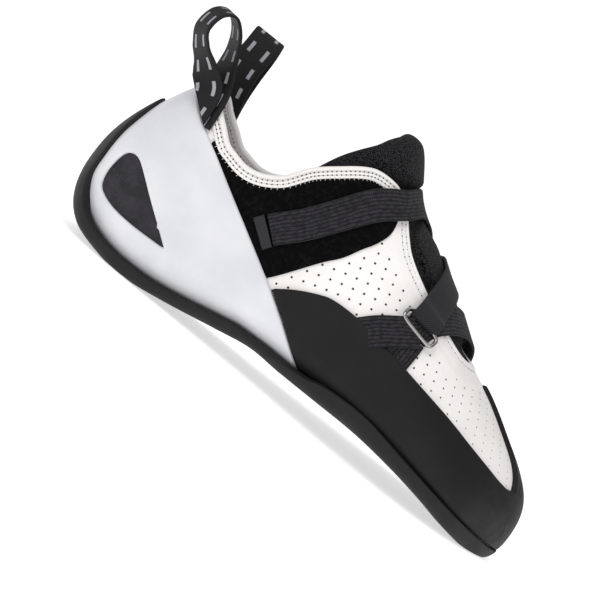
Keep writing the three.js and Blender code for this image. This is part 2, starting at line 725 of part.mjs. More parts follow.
// The pull loops stand free: rows of [along, across, up, turned], across a share of the heel's width,
// up a share of the heel's height and turned the degrees that the tape's face has turned from the side
const outsideLoopRoute = [
  [0.118, -0.438, 0.850, 13], [0.109, -0.406, 0.920, 18], [0.101, -0.350, 0.990, 30],
  [0.093, -0.308, 1.070, 48], [0.083, -0.285, 1.160, 58], [0.067, -0.298, 1.245, 62],
  [0.045, -0.343, 1.294, 62], [0.025, -0.393, 1.258, 60], [0.020, -0.423, 1.165, 57],
  [0.036, -0.424, 1.092, 48], [0.062, -0.420, 1.030, 33], [0.083, -0.420, 0.972, 18],
  [0.096, -0.443, 0.915, 15], [0.103, -0.468, 0.850, 13],
];
const insideLoopRoute = [
  [0.132, 0.439, 0.865, 0], [0.122, 0.407, 0.930, 0], [0.112, 0.350, 1.020, 2], [0.105, 0.320, 1.120, 4],
  [0.103, 0.328, 1.220, 4], [0.102, 0.375, 1.300, 4], [0.102, 0.440, 1.300, 4], [0.104, 0.487, 1.220, 3],
  [0.108, 0.494, 1.110, 2], [0.114, 0.486, 1.010, 0], [0.122, 0.482, 0.930, 0], [0.131, 0.490, 0.860, 0],
];

function buildPullLoop(rows) {
  const places = rows.map(([share, across, rise]) => [along(share), across * heelWidth, rise * heelHeight]);
  const route = smoothRoute(places.map((place) => new THREE.Vector3(...place)));
  const faces = new THREE.SplineCurve(rows.map((row, index) => new THREE.Vector2(index, row[3])));
  const side = Math.sign(rows[0][1]);
  const count = 2 * (rows.length - 1);
  const upper = [];
  const lower = [];
  for (let station = 0; station <= count; station += 1) {
    const t = station / count;
    const middle = route.getPoint(t);
    const run = route.getTangent(t);
    const angle = THREE.MathUtils.degToRad(faces.getPoint(t).y);
    const width = new THREE.Vector3(Math.cos(angle), side * Math.sin(angle), 0);
    width.addScaledVector(run, -width.dot(run)).normalize();
    const facing = width.clone().cross(run).normalize();
    const edges = [-0.5, 0.5].map((half) => middle.clone().addScaledVector(width, half * pullLoopWidth));
    upper.push(edges.map((edge) => edge.clone().addScaledVector(facing, pullLoopThickness / 2)));
    lower.push(edges.map((edge) => edge.clone().addScaledVector(facing, -pullLoopThickness / 2)));
  }
  return slab(upper, lower);
}

function strap(route) {
  return band(route, webbingWidth, webbingThickness);
}

// An anchor's webbing ends at the toe rand's edge
function anchor(route) {
  return strap(route).subtract(toeRandRegion(clearance));
}

// All that lies within a ring's outline, above and below it
function ringPlate(ring) {
  const { seat, long, short, facing } = ringFrame(ring);
  const depth = 2 * webbingWidth;
  const outline = ringOutline(ringLength + 2 * clearance, ringHeight + 2 * clearance);
  const shape = new THREE.Shape(outline.map(([x, y]) => new THREE.Vector2(x, y)));
  const geometry = new THREE.ExtrudeGeometry(shape, { depth, bevelEnabled: false });
  geometry.translate(0, 0, -depth / 2);
  geometry.applyMatrix4(new THREE.Matrix4().makeBasis(long, short, facing));
  geometry.translate(seat.x, seat.y, seat.z);
  return toSolid(geometry);
}

// The hollow that a ring's wire presses into webbing folded over it
function wirePress(ring) {
  return buildRing(ring, ringWire + 2 * clearance);
}

function buildDiagonalStrap() {
  return strap(diagonalStrapRoute).subtract(wirePress(outsideRing)).subtract(wirePress(insideRing));
}

// The upper leg of the outside anchor ends at the ring
function buildOverAnchor() {
  return anchor(outsideAnchorOver).subtract(ringPlate(outsideRing));
}

const group = new THREE.Group();

function addPiece(name, geometry, material) {
  const mesh = new THREE.Mesh(geometry, material);
  mesh.name = name;
  group.add(mesh);
}

function finish(color, roughness, metalness = 0) {
  return new THREE.MeshStandardMaterial({ color, roughness, metalness });
}

const microfibre = finish(0xf0ecec, 0.75);
const paddedMesh = finish(0x1e1e20, 0.95);
const board = finish(0xb8b0a4, 0.9);
const soleRubber = finish(0x2c2a2b, 0.7);
const randRubber = finish(0x222022, 0.65);
const paleRubber = finish(0xdedfe4, 0.5);
const pebbledRubber = finish(0x302c32, 0.8);
const nap = finish(0x0a0a0c, 1);
const bindingCloth = finish(0xebe8e5, 0.85);
const webbing = finish(0x262428, 0.9);
const smoothWebbing = finish(0x38363a, 0.8);
const tagCloth = finish(0x2a282c, 0.7);
const darkSteel = finish(0x4a4848, 0.35, 1);
const tape = finish(0x18171b, 0.6);

addPiece('upper', toGeometry(buildUpper()), microfibre);
addPiece('tongue', toGeometry(buildTongue()), paddedMesh);
addPiece('insole', toGeometry(buildInsole()), board);
addPiece('outsole', toGeometry(buildOutsole()), soleRubber);
addPiece('toe_rand', toGeometry(buildToeRand()), randRubber);
addPiece('heel_rand', toGeometry(buildHeelRand()), paleRubber);
addPiece('heel_window_outside', toGeometry(buildWindowPanel(-bodyWidth, 0)), pebbledRubber);
addPiece('heel_window_inside', toGeometry(buildWindowPanel(0, bodyWidth)), pebbledRubber);
addPiece('loop_panel', toGeometry(buildLoopPanel()), nap);
addPiece('collar_binding', toGeometry(buildBinding()), bindingCloth);
addPiece('strap_upper', toGeometry(strap(upperStrapRoute)), webbing);
addPiece('strap_tag', toGeometry(strap(tagRoute)), tagCloth);
addPiece('strap_diagonal', toGeometry(buildDiagonalStrap()), smoothWebbing);
addPiece('strap_lower', toGeometry(strap(lowerStrapRoute).subtract(toeRandRegion(clearance))), webbing);
addPiece('ring_outside', toGeometry(buildRing(outsideRing)), darkSteel);
addPiece('ring_inside', toGeometry(buildRing(insideRing)), darkSteel);
addPiece('ring_anchor_outside_under', toGeometry(anchor(outsideAnchorUnder)), webbing);
addPiece('ring_anchor_outside_over', toGeometry(buildOverAnchor()), webbing);
addPiece('ring_anchor_inside', toGeometry(anchor(insideAnchorRoute)), webbing);
addPiece('pull_loop_outside', toGeometry(buildPullLoop(outsideLoopRoute)), tape);
addPiece('pull_loop_inside', toGeometry(buildPullLoop(insideLoopRoute)), tape);

export default group;
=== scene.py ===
"""A climbing shoe for the right foot: its looks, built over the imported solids. Lengths are in millimetres.

+X points to the toe, +Z up and -Y is the outside of the foot. The last is the same function of a
table of sections as in the solids, cut here into much finer cells.
"""
import math

import bmesh
import bpy
import numpy as np
from mathutils import Matrix, Vector


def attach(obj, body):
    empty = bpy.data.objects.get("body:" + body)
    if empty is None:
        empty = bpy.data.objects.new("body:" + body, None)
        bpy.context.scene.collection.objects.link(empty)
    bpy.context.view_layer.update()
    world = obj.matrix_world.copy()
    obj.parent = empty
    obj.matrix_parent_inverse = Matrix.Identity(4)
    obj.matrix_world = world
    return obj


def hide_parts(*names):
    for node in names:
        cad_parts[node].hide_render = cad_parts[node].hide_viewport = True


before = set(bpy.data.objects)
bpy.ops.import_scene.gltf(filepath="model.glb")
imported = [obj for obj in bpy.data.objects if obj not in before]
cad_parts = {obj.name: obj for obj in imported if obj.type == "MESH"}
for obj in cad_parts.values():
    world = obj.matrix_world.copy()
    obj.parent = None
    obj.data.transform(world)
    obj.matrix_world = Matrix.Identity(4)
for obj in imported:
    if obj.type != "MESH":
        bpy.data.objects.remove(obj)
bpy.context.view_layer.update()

MM = 0.001

# Driving sizes, as in the solids
SHOE_LENGTH = 265.0
BALL_WIDTH = 91.0
HEEL_WIDTH = 61.0
INSTEP_HEIGHT = 114.0
HEEL_HEIGHT = 97.0
TONGUE_HEIGHT = 135.0
ORIGIN_SHARE = 0.16
UPPER_WALL = 1.8
INSOLE_THICKNESS = 1.6
INSOLE_SHARE = 0.78
SOLE_THICKNESS = 5.2
SOLE_OVERHANG = 2.6
HEEL_STRIP_THICKNESS = 4.2
RAND_THICKNESS = 2.0
WINDOW_PANEL_THICKNESS = 0.9
LOOP_PANEL_THICKNESS = 1.1
BINDING_WALL = 1.1
BINDING_DEPTH = 6.4
TONGUE_THICKNESS = 3.2
TONGUE_BULGE = 1.9
TONGUE_SWELL = 3.7
# 1.4 more than in the solids, where the knit swells over the strap
TONGUE_FLARE = 6.6
WEBBING_WIDTH = 15.0
WEBBING_THICKNESS = 1.4
RING_LENGTH = 21.5
RING_HEIGHT = 9.0
RING_WIRE = 1.9
RING_ROUNDNESS = 0.5
PULL_LOOP_WIDTH = 16.0
PULL_LOOP_THICKNESS = 1.4
CLEARANCE = 0.3
BINDING_LIFT = BINDING_WALL + CLEARANCE
TIP_ROWS = 3
SOLE_SQUARENESS = 5.0
SOLE_EDGE_SHARE = 0.5
FAR = 3 * SHOE_LENGTH

# Columns: along, floor, crown, belly, outside, inside, ridge, outside full, inside full, floor flat
LAST_ROWS = np.array([
    [0.011, 0.333, 0.333, 0.333, 0.000, 0.000, 0.000, 2.0, 2.0, 2.2],
    [0.016, 0.228, 0.447, 0.316, 0.172, 0.167, 0.000, 2.1, 2.1, 2.4],
    [0.034, 0.146, 0.576, 0.298, 0.320, 0.311, 0.000, 2.3, 2.3, 2.8],
    [0.066, 0.088, 0.737, 0.281, 0.420, 0.410, 0.000, 2.5, 2.5, 3.4],
    [0.115, 0.050, 0.917, 0.263, 0.485, 0.469, 0.000, 2.7, 2.7, 4.0],
    [0.179, 0.037, 1.053, 0.246, 0.518, 0.485, 0.000, 2.8, 2.8, 4.4],
    [0.266, 0.067, 1.140, 0.246, 0.539, 0.468, 0.000, 2.8, 2.8, 4.6],
    [0.356, 0.111, 1.184, 0.263, 0.527, 0.408, 0.007, 2.6, 2.7, 4.6],
    [0.432, 0.146, 1.149, 0.272, 0.507, 0.367, 0.020, 2.2, 2.4, 4.6],
    [0.500, 0.146, 0.974, 0.272, 0.501, 0.351, 0.029, 1.9, 2.2, 4.6],
    [0.583, 0.150, 0.851, 0.263, 0.513, 0.370, 0.044, 1.8, 2.1, 4.8],
    [0.666, 0.152, 0.723, 0.246, 0.534, 0.429, 0.060, 1.8, 2.1, 5.0],
    [0.745, 0.136, 0.600, 0.219, 0.516, 0.479, 0.088, 1.8, 2.1, 5.0],
    [0.817, 0.108, 0.516, 0.184, 0.451, 0.510, 0.121, 1.8, 2.1, 5.0],
    [0.877, 0.073, 0.432, 0.154, 0.336, 0.514, 0.154, 1.9, 2.1, 5.0],
    [0.926, 0.046, 0.360, 0.132, 0.171, 0.481, 0.187, 2.0, 2.1, 4.8],
    [0.962, 0.029, 0.288, 0.118, 0.000, 0.418, 0.209, 2.1, 2.1, 4.2],
    [0.980, 0.040, 0.211, 0.111, -0.121, 0.330, 0.220, 2.1, 2.1, 3.2],
    [0.986, 0.109, 0.109, 0.109, -0.220, 0.220, 0.220, 2.0, 2.0, 2.4],
])
LAST_SPAN = len(LAST_ROWS) - 1


def along(share):
    return (np.asarray(share, float) - ORIGIN_SHARE) * SHOE_LENGTH


def up(share):
    return np.asarray(share, float) * INSTEP_HEIGHT


def smoothstep(low, high, value):
    t = np.clip((np.asarray(value, float) - low) / (high - low), 0.0, 1.0)
    return t * t * (3 - 2 * t)


def width_at(share):
    return HEEL_WIDTH + (BALL_WIDTH - HEEL_WIDTH) * smoothstep(0.25, 0.6, share)


def turned_over(row):
    turned = row.copy()
    turned[1], turned[2] = row[2], row[1]
    turned[4], turned[5] = -row[5], -row[4]
    return turned


LAST_CHAIN = np.vstack([turned_over(LAST_ROWS[1]), LAST_ROWS, turned_over(LAST_ROWS[-2])])


def between_rows(a, b, c, d, f):
    """The place at share f of the way from b to c, on a curve that passes smoothly through both."""
    square = (2 * a - 5 * b + 4 * c - d) * f ** 2
    return 0.5 * (2 * b + (c - a) * f + square + (3 * b - a - 3 * c + d) * f ** 3)


def sections_at(t):
    """The sections at places counted in rows."""
    index = np.clip(np.floor(t).astype(int), 0, LAST_SPAN - 1)
    return between_rows(*(LAST_CHAIN[index + step] for step in range(4)), (t - index)[..., None])


def last_points(t, turn, sole=False):
    """Points of the last: turn 0 is the crest, 1 the outside belly, 2 the floor and -1 the inside belly."""
    t, turn = np.broadcast_arrays(np.asarray(t, float), np.asarray(turn, float))
    share, floor, crown, belly, outside, inside, ridge, *form = np.moveaxis(sections_at(t), -1, 0)
    outside_full, inside_full, floor_flat = form
    width = width_at(share)
    near_tip = np.minimum(1, np.minimum(t, LAST_SPAN - t) / TIP_ROWS)
    low = up(floor) - ((SOLE_THICKNESS - SOLE_OVERHANG) * near_tip if sole else 0)
    high = up(crown)
    middle = np.minimum(high, np.maximum(low, up(belly)))
    wrapped = np.mod(turn, 4)
    angle = np.where(wrapped > 2, 4 - wrapped, wrapped) * np.pi / 2
    is_outside = wrapped <= 2
    side = np.where(is_outside, -outside, inside) * width
    above = angle <= np.pi / 2
    squareness = SOLE_SQUARENESS * near_tip if sole else 0
    flatness = np.where(above, 2, floor_flat + squareness)
    sides = np.where(is_outside, outside_full, inside_full)
    fullness = np.where(above, sides, 2 + squareness * SOLE_EDGE_SHARE)
    across = np.abs(np.sin(angle)) ** (2 / flatness)
    rise = np.abs(np.cos(angle)) ** (2 / fullness)
    reach = np.where(above, high, low) - middle
    middle_y = ridge * width
    return np.stack([along(share), middle_y + (side - middle_y) * across, middle + reach * rise], -1)


def unit(vectors):
    return vectors / np.maximum(np.linalg.norm(vectors, axis=-1, keepdims=True), 1e-9)


def last_normals(t, turn, sole=False):
    nudge = 0.012
    t, turn = np.broadcast_arrays(np.asarray(t, float), np.asarray(turn, float))
    back, front = np.maximum(0, t - nudge), np.minimum(LAST_SPAN, t + nudge)
    forward = last_points(front, turn, sole) - last_points(back, turn, sole)
    round_ = last_points(t, turn + nudge, sole) - last_points(t, turn - nudge, sole)
    normals = unit(np.cross(round_, forward))
    normals[t <= 1e-6] = (-1, 0, 0)
    normals[t >= LAST_SPAN - 1e-6] = (1, 0, 0)
    return normals


FINE_T = np.linspace(0, LAST_SPAN, 1441)
FINE_SHARES = sections_at(FINE_T)[:, 0]


def place_of(share):
    """The place in rows where the last reaches a share of its length."""
    return np.interp(share, FINE_SHARES, FINE_T)


def place_at(x):
    return place_of(x / SHOE_LENGTH + ORIGIN_SHARE)


def on_last(t, turn, sole=False):
    return last_points(t, turn, sole), last_normals(t, turn, sole)


def lifted(t, turn, height):
    """Points at a height over the last."""
    return last_points(t, turn) + last_normals(t, turn) * np.reshape(height, (-1, 1))


def surface(share, turn):
    return last_points(place_of(share), turn)


def surface_normals(share, turn):
    return last_normals(place_of(share), turn)


def turn_at_height(t, z, side):
    """The turn, above the belly, where the section at t has a height; side is 1 outside and -1 inside."""
    section = sections_at(np.asarray(t, float))
    crown, belly = up(section[..., 2]), up(section[..., 3])
    full = section[..., 7] if side > 0 else section[..., 8]
    rise = np.clip((z - belly) / np.maximum(crown - belly, 1e-6), 0, 1)
    return side * np.arccos(rise ** (full / 2)) / (np.pi / 2)


# Lines in the side view and the plan

def smooth_line(rows, steps=8):
    """Points of a smooth line through rows."""
    rows = np.asarray(rows, float)
    chain = np.vstack([rows[0], rows, rows[-1]])
    shares = np.arange(steps) / steps
    points = [between_rows(*chain[i:i + 4], f) for i in range(len(rows) - 1) for f in shares]
    return np.array(points + [rows[-1]])


def side_line(rows, height=INSTEP_HEIGHT, steps=8):
    """A smooth line through rows of shares: of the length, and of a height, or of a width in the plan."""
    rows = np.asarray(rows, float)
    return smooth_line(np.column_stack([along(rows[:, 0]), rows[:, 1] * height]), steps)


def shifted(line, distance):
    """The line moved to its left, as it runs, by a distance."""
    direction = unit(np.gradient(line, axis=0))
    return line + distance * np.column_stack([-direction[:, 1], direction[:, 0]])


def distance_to(points, line):
    """The distance of 2-D points from a line of segments."""
    best = np.full(len(points), 1e9)
    for a, b in zip(line[:-1], line[1:]):
        step = b - a
        f = np.clip(((points - a) @ step) / max(step @ step, 1e-12), 0, 1)
        best = np.minimum(best, np.linalg.norm(points - a - f[:, None] * step, axis=1))
    return best


def depth_in(points, outline):
    """How deep 2-D points lie inside a closed outline; negative outside it."""
    closed = np.vstack([outline, outline[:1]])
    inside = np.zeros(len(points), bool)
    x, y = points.T
    for (ax, ay), (bx, by) in zip(closed[:-1], closed[1:]):
        if ay == by:
            continue
        crosses = ((ay > y) != (by > y)) & (x < (bx - ax) * (y - ay) / (by - ay) + ax)
        inside ^= crosses
    return np.where(inside, 1, -1) * distance_to(points, closed)


HEEL_TAB_LINE = side_line([
    [0.020, 1.010], [0.085, 1.000], [0.112, 0.975], [0.135, 0.915], [0.162, 0.862],
], HEEL_HEIGHT)
COLLAR_LINE = side_line([
    [0.186, 0.692], [0.225, 0.671], [0.252, 0.677], [0.275, 0.702], [0.295, 0.741],
    [0.321, 0.826], [0.360, 0.906], [0.388, 0.957], [0.411, 0.984], [0.436, 0.990], [0.458, 0.982],
    [0.480, 0.955],
])
THROAT_LINE = side_line([
    [0.504, 0.911], [0.529, 0.850], [0.556, 0.797], [0.605, 0.734], [0.655, 0.680], [0.703, 0.630],
    [0.728, 0.608], [0.752, 0.598], [0.770, 0.606],
])
ANKLE_LINE = smooth_line(np.vstack([HEEL_TAB_LINE[::4], COLLAR_LINE[::4]]), 4)
SOLE_LINE = side_line([
    [0.040, 0.690], [0.029, 0.560], [0.022, 0.462], [0.021, 0.390], [0.023, 0.310], [0.026, 0.235],
    [0.041, 0.160], [0.063, 0.106], [0.095, 0.073], [0.138, 0.056], [0.182, 0.054], [0.232, 0.058],
    [0.295, 0.084], [0.383, 0.135], [0.405, 0.139], [0.433, 0.134], [0.532, 0.157], [0.573, 0.183],
    [0.628, 0.199], [0.677, 0.196], [0.718, 0.181], [0.840, 0.127], [0.940, 0.076], [0.990, 0.052],
])
HEEL_RAND_LINE = side_line([
    [0.040, 0.840], [0.080, 0.768], [0.105, 0.717], [0.141, 0.666], [0.180, 0.623], [0.254, 0.530],
    [0.303, 0.470], [0.383, 0.371], [0.468, 0.254], [0.538, 0.150], [0.552, 0.128],
])
WINDOW_LINE = side_line([
    [0.211, 0.200], [0.150, 0.192], [0.108, 0.194], [0.079, 0.206], [0.057, 0.232], [0.049, 0.285],
    [0.049, 0.340], [0.053, 0.385], [0.062, 0.409], [0.077, 0.412], [0.098, 0.385], [0.144, 0.308],
    [0.211, 0.200],
], steps=6)[:-1]
TOE_RAND_OUTSIDE = side_line([
    [0.380, 0.318], [0.396, 0.343], [0.434, 0.408], [0.474, 0.457], [0.501, 0.475], [0.553, 0.479],
    [0.600, 0.465], [0.664, 0.441], [0.770, 0.392], [0.833, 0.354], [0.881, 0.323], [0.918, 0.298],
    [0.944, 0.291], [1.050, 0.291],
])
TOE_RAND_INSIDE = side_line([
    [0.380, 0.318], [0.410, 0.370], [0.460, 0.440], [0.530, 0.480], [0.610, 0.490], [0.680, 0.490],
    [0.730, 0.496], [0.770, 0.515], [0.795, 0.560], [0.812, 0.640],
])
TOE_RAND_CREST = side_line([
    [0.600, 0.060], [0.700, 0.120], [0.760, 0.155], [0.815, 0.172], [0.860, 0.166], [0.895, 0.142],
    [0.920, 0.104], [0.938, 0.050], [0.946, -0.010], [0.944, -0.080],
], BALL_WIDTH)
LOOP_PANEL_FRONT = side_line([
    [0.448, 1.040], [0.470, 0.945], [0.491, 0.880], [0.499, 0.815], [0.492, 0.753], [0.479, 0.699],
    [0.462, 0.624], [0.438, 0.553], [0.385, 0.378], [0.360, 0.340],
])
LOOP_PANEL_BACK = 0.160
TONGUE_EDGE = side_line([
    [0.300, 0.640], [0.312, 0.760], [0.322, 0.832], [0.342, 0.940], [0.363, 1.020], [0.382, 1.082],
    [0.393, 1.128], [0.404, 1.158],
])
TONGUE_MARGIN = [
    [0.790, 0.560], [0.730, 0.510], [0.640, 0.560], [0.560, 0.640], [0.500, 0.720], [0.430, 0.740],
    [0.360, 0.700],
]
UNDER = -float(up(0.3))
MOUTH_LINE = np.vstack([ANKLE_LINE, THROAT_LINE])


def side_view(points):
    return points[:, [0, 2]]


def collar_height(x):
    return np.interp(x, MOUTH_LINE[:, 0], MOUTH_LINE[:, 1])


def below_mouth(points, lowered):
    """How far points lie below the collar's and the throat's edge, seen from the side."""
    edge = np.vstack([shifted(ANKLE_LINE, -lowered), THROAT_LINE])
    roof = 2 * TONGUE_HEIGHT
    outline = np.vstack([[-SHOE_LENGTH, edge[0, 1]], edge, [along(0.8), roof], [-SHOE_LENGTH, roof]])
    return -depth_in(side_view(points), outline)


def below_line(points, line, rear=None, front=None):
    """How deep points lie below a line in the side view, which ends at rear and front, or at its own ends."""
    rear = line[0, 0] if rear is None else rear
    front = line[-1, 0] if front is None else front
    ends = [[front, line[-1, 1]], [front, UNDER], [rear, UNDER], [rear, line[0, 1]]]
    return depth_in(side_view(points), np.vstack([line, ends]))


def in_sole(points):
    return below_line(points, SOLE_LINE, -FAR, FAR)


def in_heel_rand(points):
    return below_line(points, HEEL_RAND_LINE, -FAR)


def in_window(points):
    return depth_in(side_view(points), WINDOW_LINE)


def in_toe_rand(points):
    over_top = [[along(1.1), up(0.7)]]
    inside = below_line(points, np.vstack([TOE_RAND_INSIDE, over_top]))
    far_side = [
        [along(0.944), -BALL_WIDTH], [FAR, -BALL_WIDTH], [FAR, BALL_WIDTH],
        [along(0.3), BALL_WIDTH], [along(0.3), 0],
    ]
    plan = depth_in(points[:, :2], np.vstack([TOE_RAND_CREST, far_side]))
    return np.maximum(below_line(points, TOE_RAND_OUTSIDE), np.minimum(inside, plan))


def in_loop_panel(points):
    rear = [[along(LOOP_PANEL_BACK), up(0.3)], [along(LOOP_PANEL_BACK), up(1.04)]]
    return np.minimum(depth_in(side_view(points), np.vstack([rear, LOOP_PANEL_FRONT])), -points[:, 1])


# Meshes

# Points of a piece that lie closer than this are one
SAME_PLACE = 0.002


def add_piece(name, points, faces, materials, face_materials=None, uv=None, extra=False, sharp=45):
    """A mesh from points in millimetres, joined where its points meet, riding on the shoe.

    Unless it is an extra, it stands for the solid of its name, which is hidden. Its first slot holds its
    first material."""
    mesh = bpy.data.meshes.new(name)
    mesh.from_pydata((np.asarray(points) * MM).tolist(), [], [list(map(int, f)) for f in faces])
    if face_materials is not None:
        mesh.polygons.foreach_set("material_index", np.asarray(face_materials, np.int32))
    if uv is not None:
        corners = np.zeros(len(mesh.loops), np.int32)
        mesh.loops.foreach_get("vertex_index", corners)
        mesh.uv_layers.new(name="lay").data.foreach_set("uv", np.asarray(uv)[corners].ravel())
    cells = bmesh.new()
    cells.from_mesh(mesh)
    bmesh.ops.remove_doubles(cells, verts=cells.verts, dist=SAME_PLACE * MM)
    cells.to_mesh(mesh)
    cells.free()
    for material in materials:
        mesh.materials.append(material)
    mesh.shade_smooth()
    mesh.set_sharp_from_angle(angle=math.radians(sharp))
    obj = bpy.data.objects.new(name, mesh)
    bpy.context.scene.collection.objects.link(obj)
    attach(obj, "root")
    if not extra:
        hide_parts(name)
    return obj


def step_lengths(points):
    return np.linalg.norm(np.diff(points, axis=0), axis=1)


def lengths_along(points):
    """How far along a line of points each of them lies."""
    return np.concatenate([[0], np.cumsum(step_lengths(points))])


def even_places(lengths, count):
    """Places along a dense list that lie evenly by the given lengths of its steps."""
    run = np.concatenate([[0], np.cumsum(lengths)])
    return np.interp(np.linspace(0, run[-1], count), run, np.arange(len(run)))


def picked(rows, places):
    """Rows at places counted in rows, straight between them."""
    return np.column_stack([np.interp(places, np.arange(len(rows)), column) for column in rows.T])


def grid_axes(cell):
    """The places t and turn of a grid over the whole last, with cells of about one size."""
    dense_t = np.linspace(0, LAST_SPAN, 900)
    turns = np.array([-1.5, -1, -0.5, 0, 0.5, 1, 1.5, 2])
    rings = last_points(dense_t[:, None], turns[None, :])
    steps = np.linalg.norm(np.diff(rings, axis=0), axis=-1).max(1)
    t = np.interp(even_places(steps, int(steps.sum() / cell) + 1), np.arange(len(dense_t)), dense_t)
    w = np.linspace(0, 1, 300)
    half = np.concatenate([w, (2 - w ** 3)[::-1][1:]])
    dense_turn = np.concatenate([-half[::-1], half[1:]])
    rings = last_points(np.array([4.0, 7.0, 10.0, 13.0])[:, None], dense_turn[None, :])
    steps = np.linalg.norm(np.diff(rings, axis=1), axis=-1).max(0)
    count = int(steps.sum() / cell) // 2 * 2 + 1
    turn = np.interp(even_places(steps, count), np.arange(len(dense_turn)), dense_turn)
    return t, turn


def cut_cells(field, levels, cell, sole=False, lift=0.0):
    """Cells of the last where the field is above the first level, cut along each level.

    Returns the points, the normals, the field there, the faces, and the free edges in the faces' order."""
    t_axis, turn_axis = grid_axes(cell)
    t, turn = (a.ravel() for a in np.meshgrid(t_axis, turn_axis, indexing="ij"))
    points = last_points(t, turn, sole)
    if lift:
        points = points + last_normals(t, turn, sole) * lift
    values = field(points)
    rows, columns = len(t_axis), len(turn_axis)
    index = np.arange(rows * columns).reshape(rows, columns)
    quads = np.stack([index[:-1, :-1], index[:-1, 1:], index[1:, 1:], index[1:, :-1]], -1).reshape(-1, 4)
    quads = quads[values[quads].max(1) > levels[0]]
    used, inverse = np.unique(quads, return_inverse=True)
    mesh = bpy.data.meshes.new("cells")
    corners = np.column_stack([values[used], t[used], turn[used]])
    mesh.from_pydata(corners.tolist(), [], inverse.reshape(-1, 4).tolist())
    cells = bmesh.new()
    cells.from_mesh(mesh)
    bpy.data.meshes.remove(mesh)
    for level in levels:
        everything = cells.verts[:] + cells.edges[:] + cells.faces[:]
        bmesh.ops.bisect_plane(cells, geom=everything, dist=1e-5, plane_co=(level, 0, 0),
                               plane_no=(1, 0, 0), clear_inner=level == levels[0])
    cells.verts.index_update()
    places = np.array([v.co for v in cells.verts])
    faces = [[v.index for v in face.verts] for face in cells.faces]
    edges = []
    for edge in cells.edges:
        if len(edge.link_faces) != 1:
            continue
        ends = places[[v.index for v in edge.verts]]
        at_seam = (np.abs(np.abs(ends[:, 2]) - 2) < 1e-4).all()
        at_tip = (ends[:, 1] < 1e-4).all() or (ends[:, 1] > LAST_SPAN - 1e-4).all()
        if at_seam or at_tip:
            continue
        loop = edge.link_loops[0]
        edges.append((loop.vert.index, loop.link_loop_next.vert.index))
    cells.free()
    return *on_last(places[:, 1], places[:, 2], sole), places[:, 0], faces, edges


def band_faces(rows, columns, ring=True, loop=False, turned=False):
    """Quads between rows of points. A ring joins each row's ends, and a loop the last row to the first."""
    faces = []
    for row in range(rows if loop else rows - 1):
        low, high = row * columns, (row + 1) % rows * columns
        for k in range(columns if ring else columns - 1):
            after = (k + 1) % columns
            quad = (low + k, low + after, high + after, high + k)
            faces.append(quad[:1] + quad[:0:-1] if turned else quad)
    return faces


def turned_faces(faces):
    return [face[::-1] for face in faces]


def walled(outer, inner, faces, edges, with_back=True):
    """The points and faces of a skin with a wall down to its inner side, and that side last if asked."""
    count = len(outer)
    rim = [(b, a, a + count, b + count) for a, b in edges]
    back = [[v + count for v in reversed(face)] for face in faces] if with_back else []
    return np.vstack([outer, inner]), faces + rim + back


def rounded(depth, radius):
    """From 0 at a free edge to 1 at a radius inside it, as a quarter circle."""
    u = np.clip(depth / radius, 0, 1)
    return np.sqrt(np.maximum(0, 1 - (1 - u) ** 2))


EDGE_LEVELS = (0.0, 0.12, 0.35, 0.7, 1.1, 1.6)
# The share of a sheet's thickness that stands at its very edge, and how far the edge reaches into the upper
EDGE_SHARE = 0.25
GLUE_DEPTH = 0.25


def overlay(name, field, thickness, material, cell=1.7, edge=1.1):
    """A sheet glued on the upper, rounded down to it at its edges."""
    points, normals, depth, faces, edges = cut_cells(field, EDGE_LEVELS, cell)
    height = CLEARANCE + thickness * (EDGE_SHARE + (1 - EDGE_SHARE) * rounded(depth, edge))
    outer = points + normals * height[:, None]
    points, faces = walled(outer, points - normals * GLUE_DEPTH, faces, edges, False)
    add_piece(name, points, faces, [material], sharp=60)


# Materials

def linear(red, green, blue):
    """A colour given in screen values of 0 to 255."""
    values = [v / 255 for v in (red, green, blue)]
    return tuple(v / 12.92 if v <= 0.04045 else ((v + 0.055) / 1.055) ** 2.4 for v in values) + (1.0,)


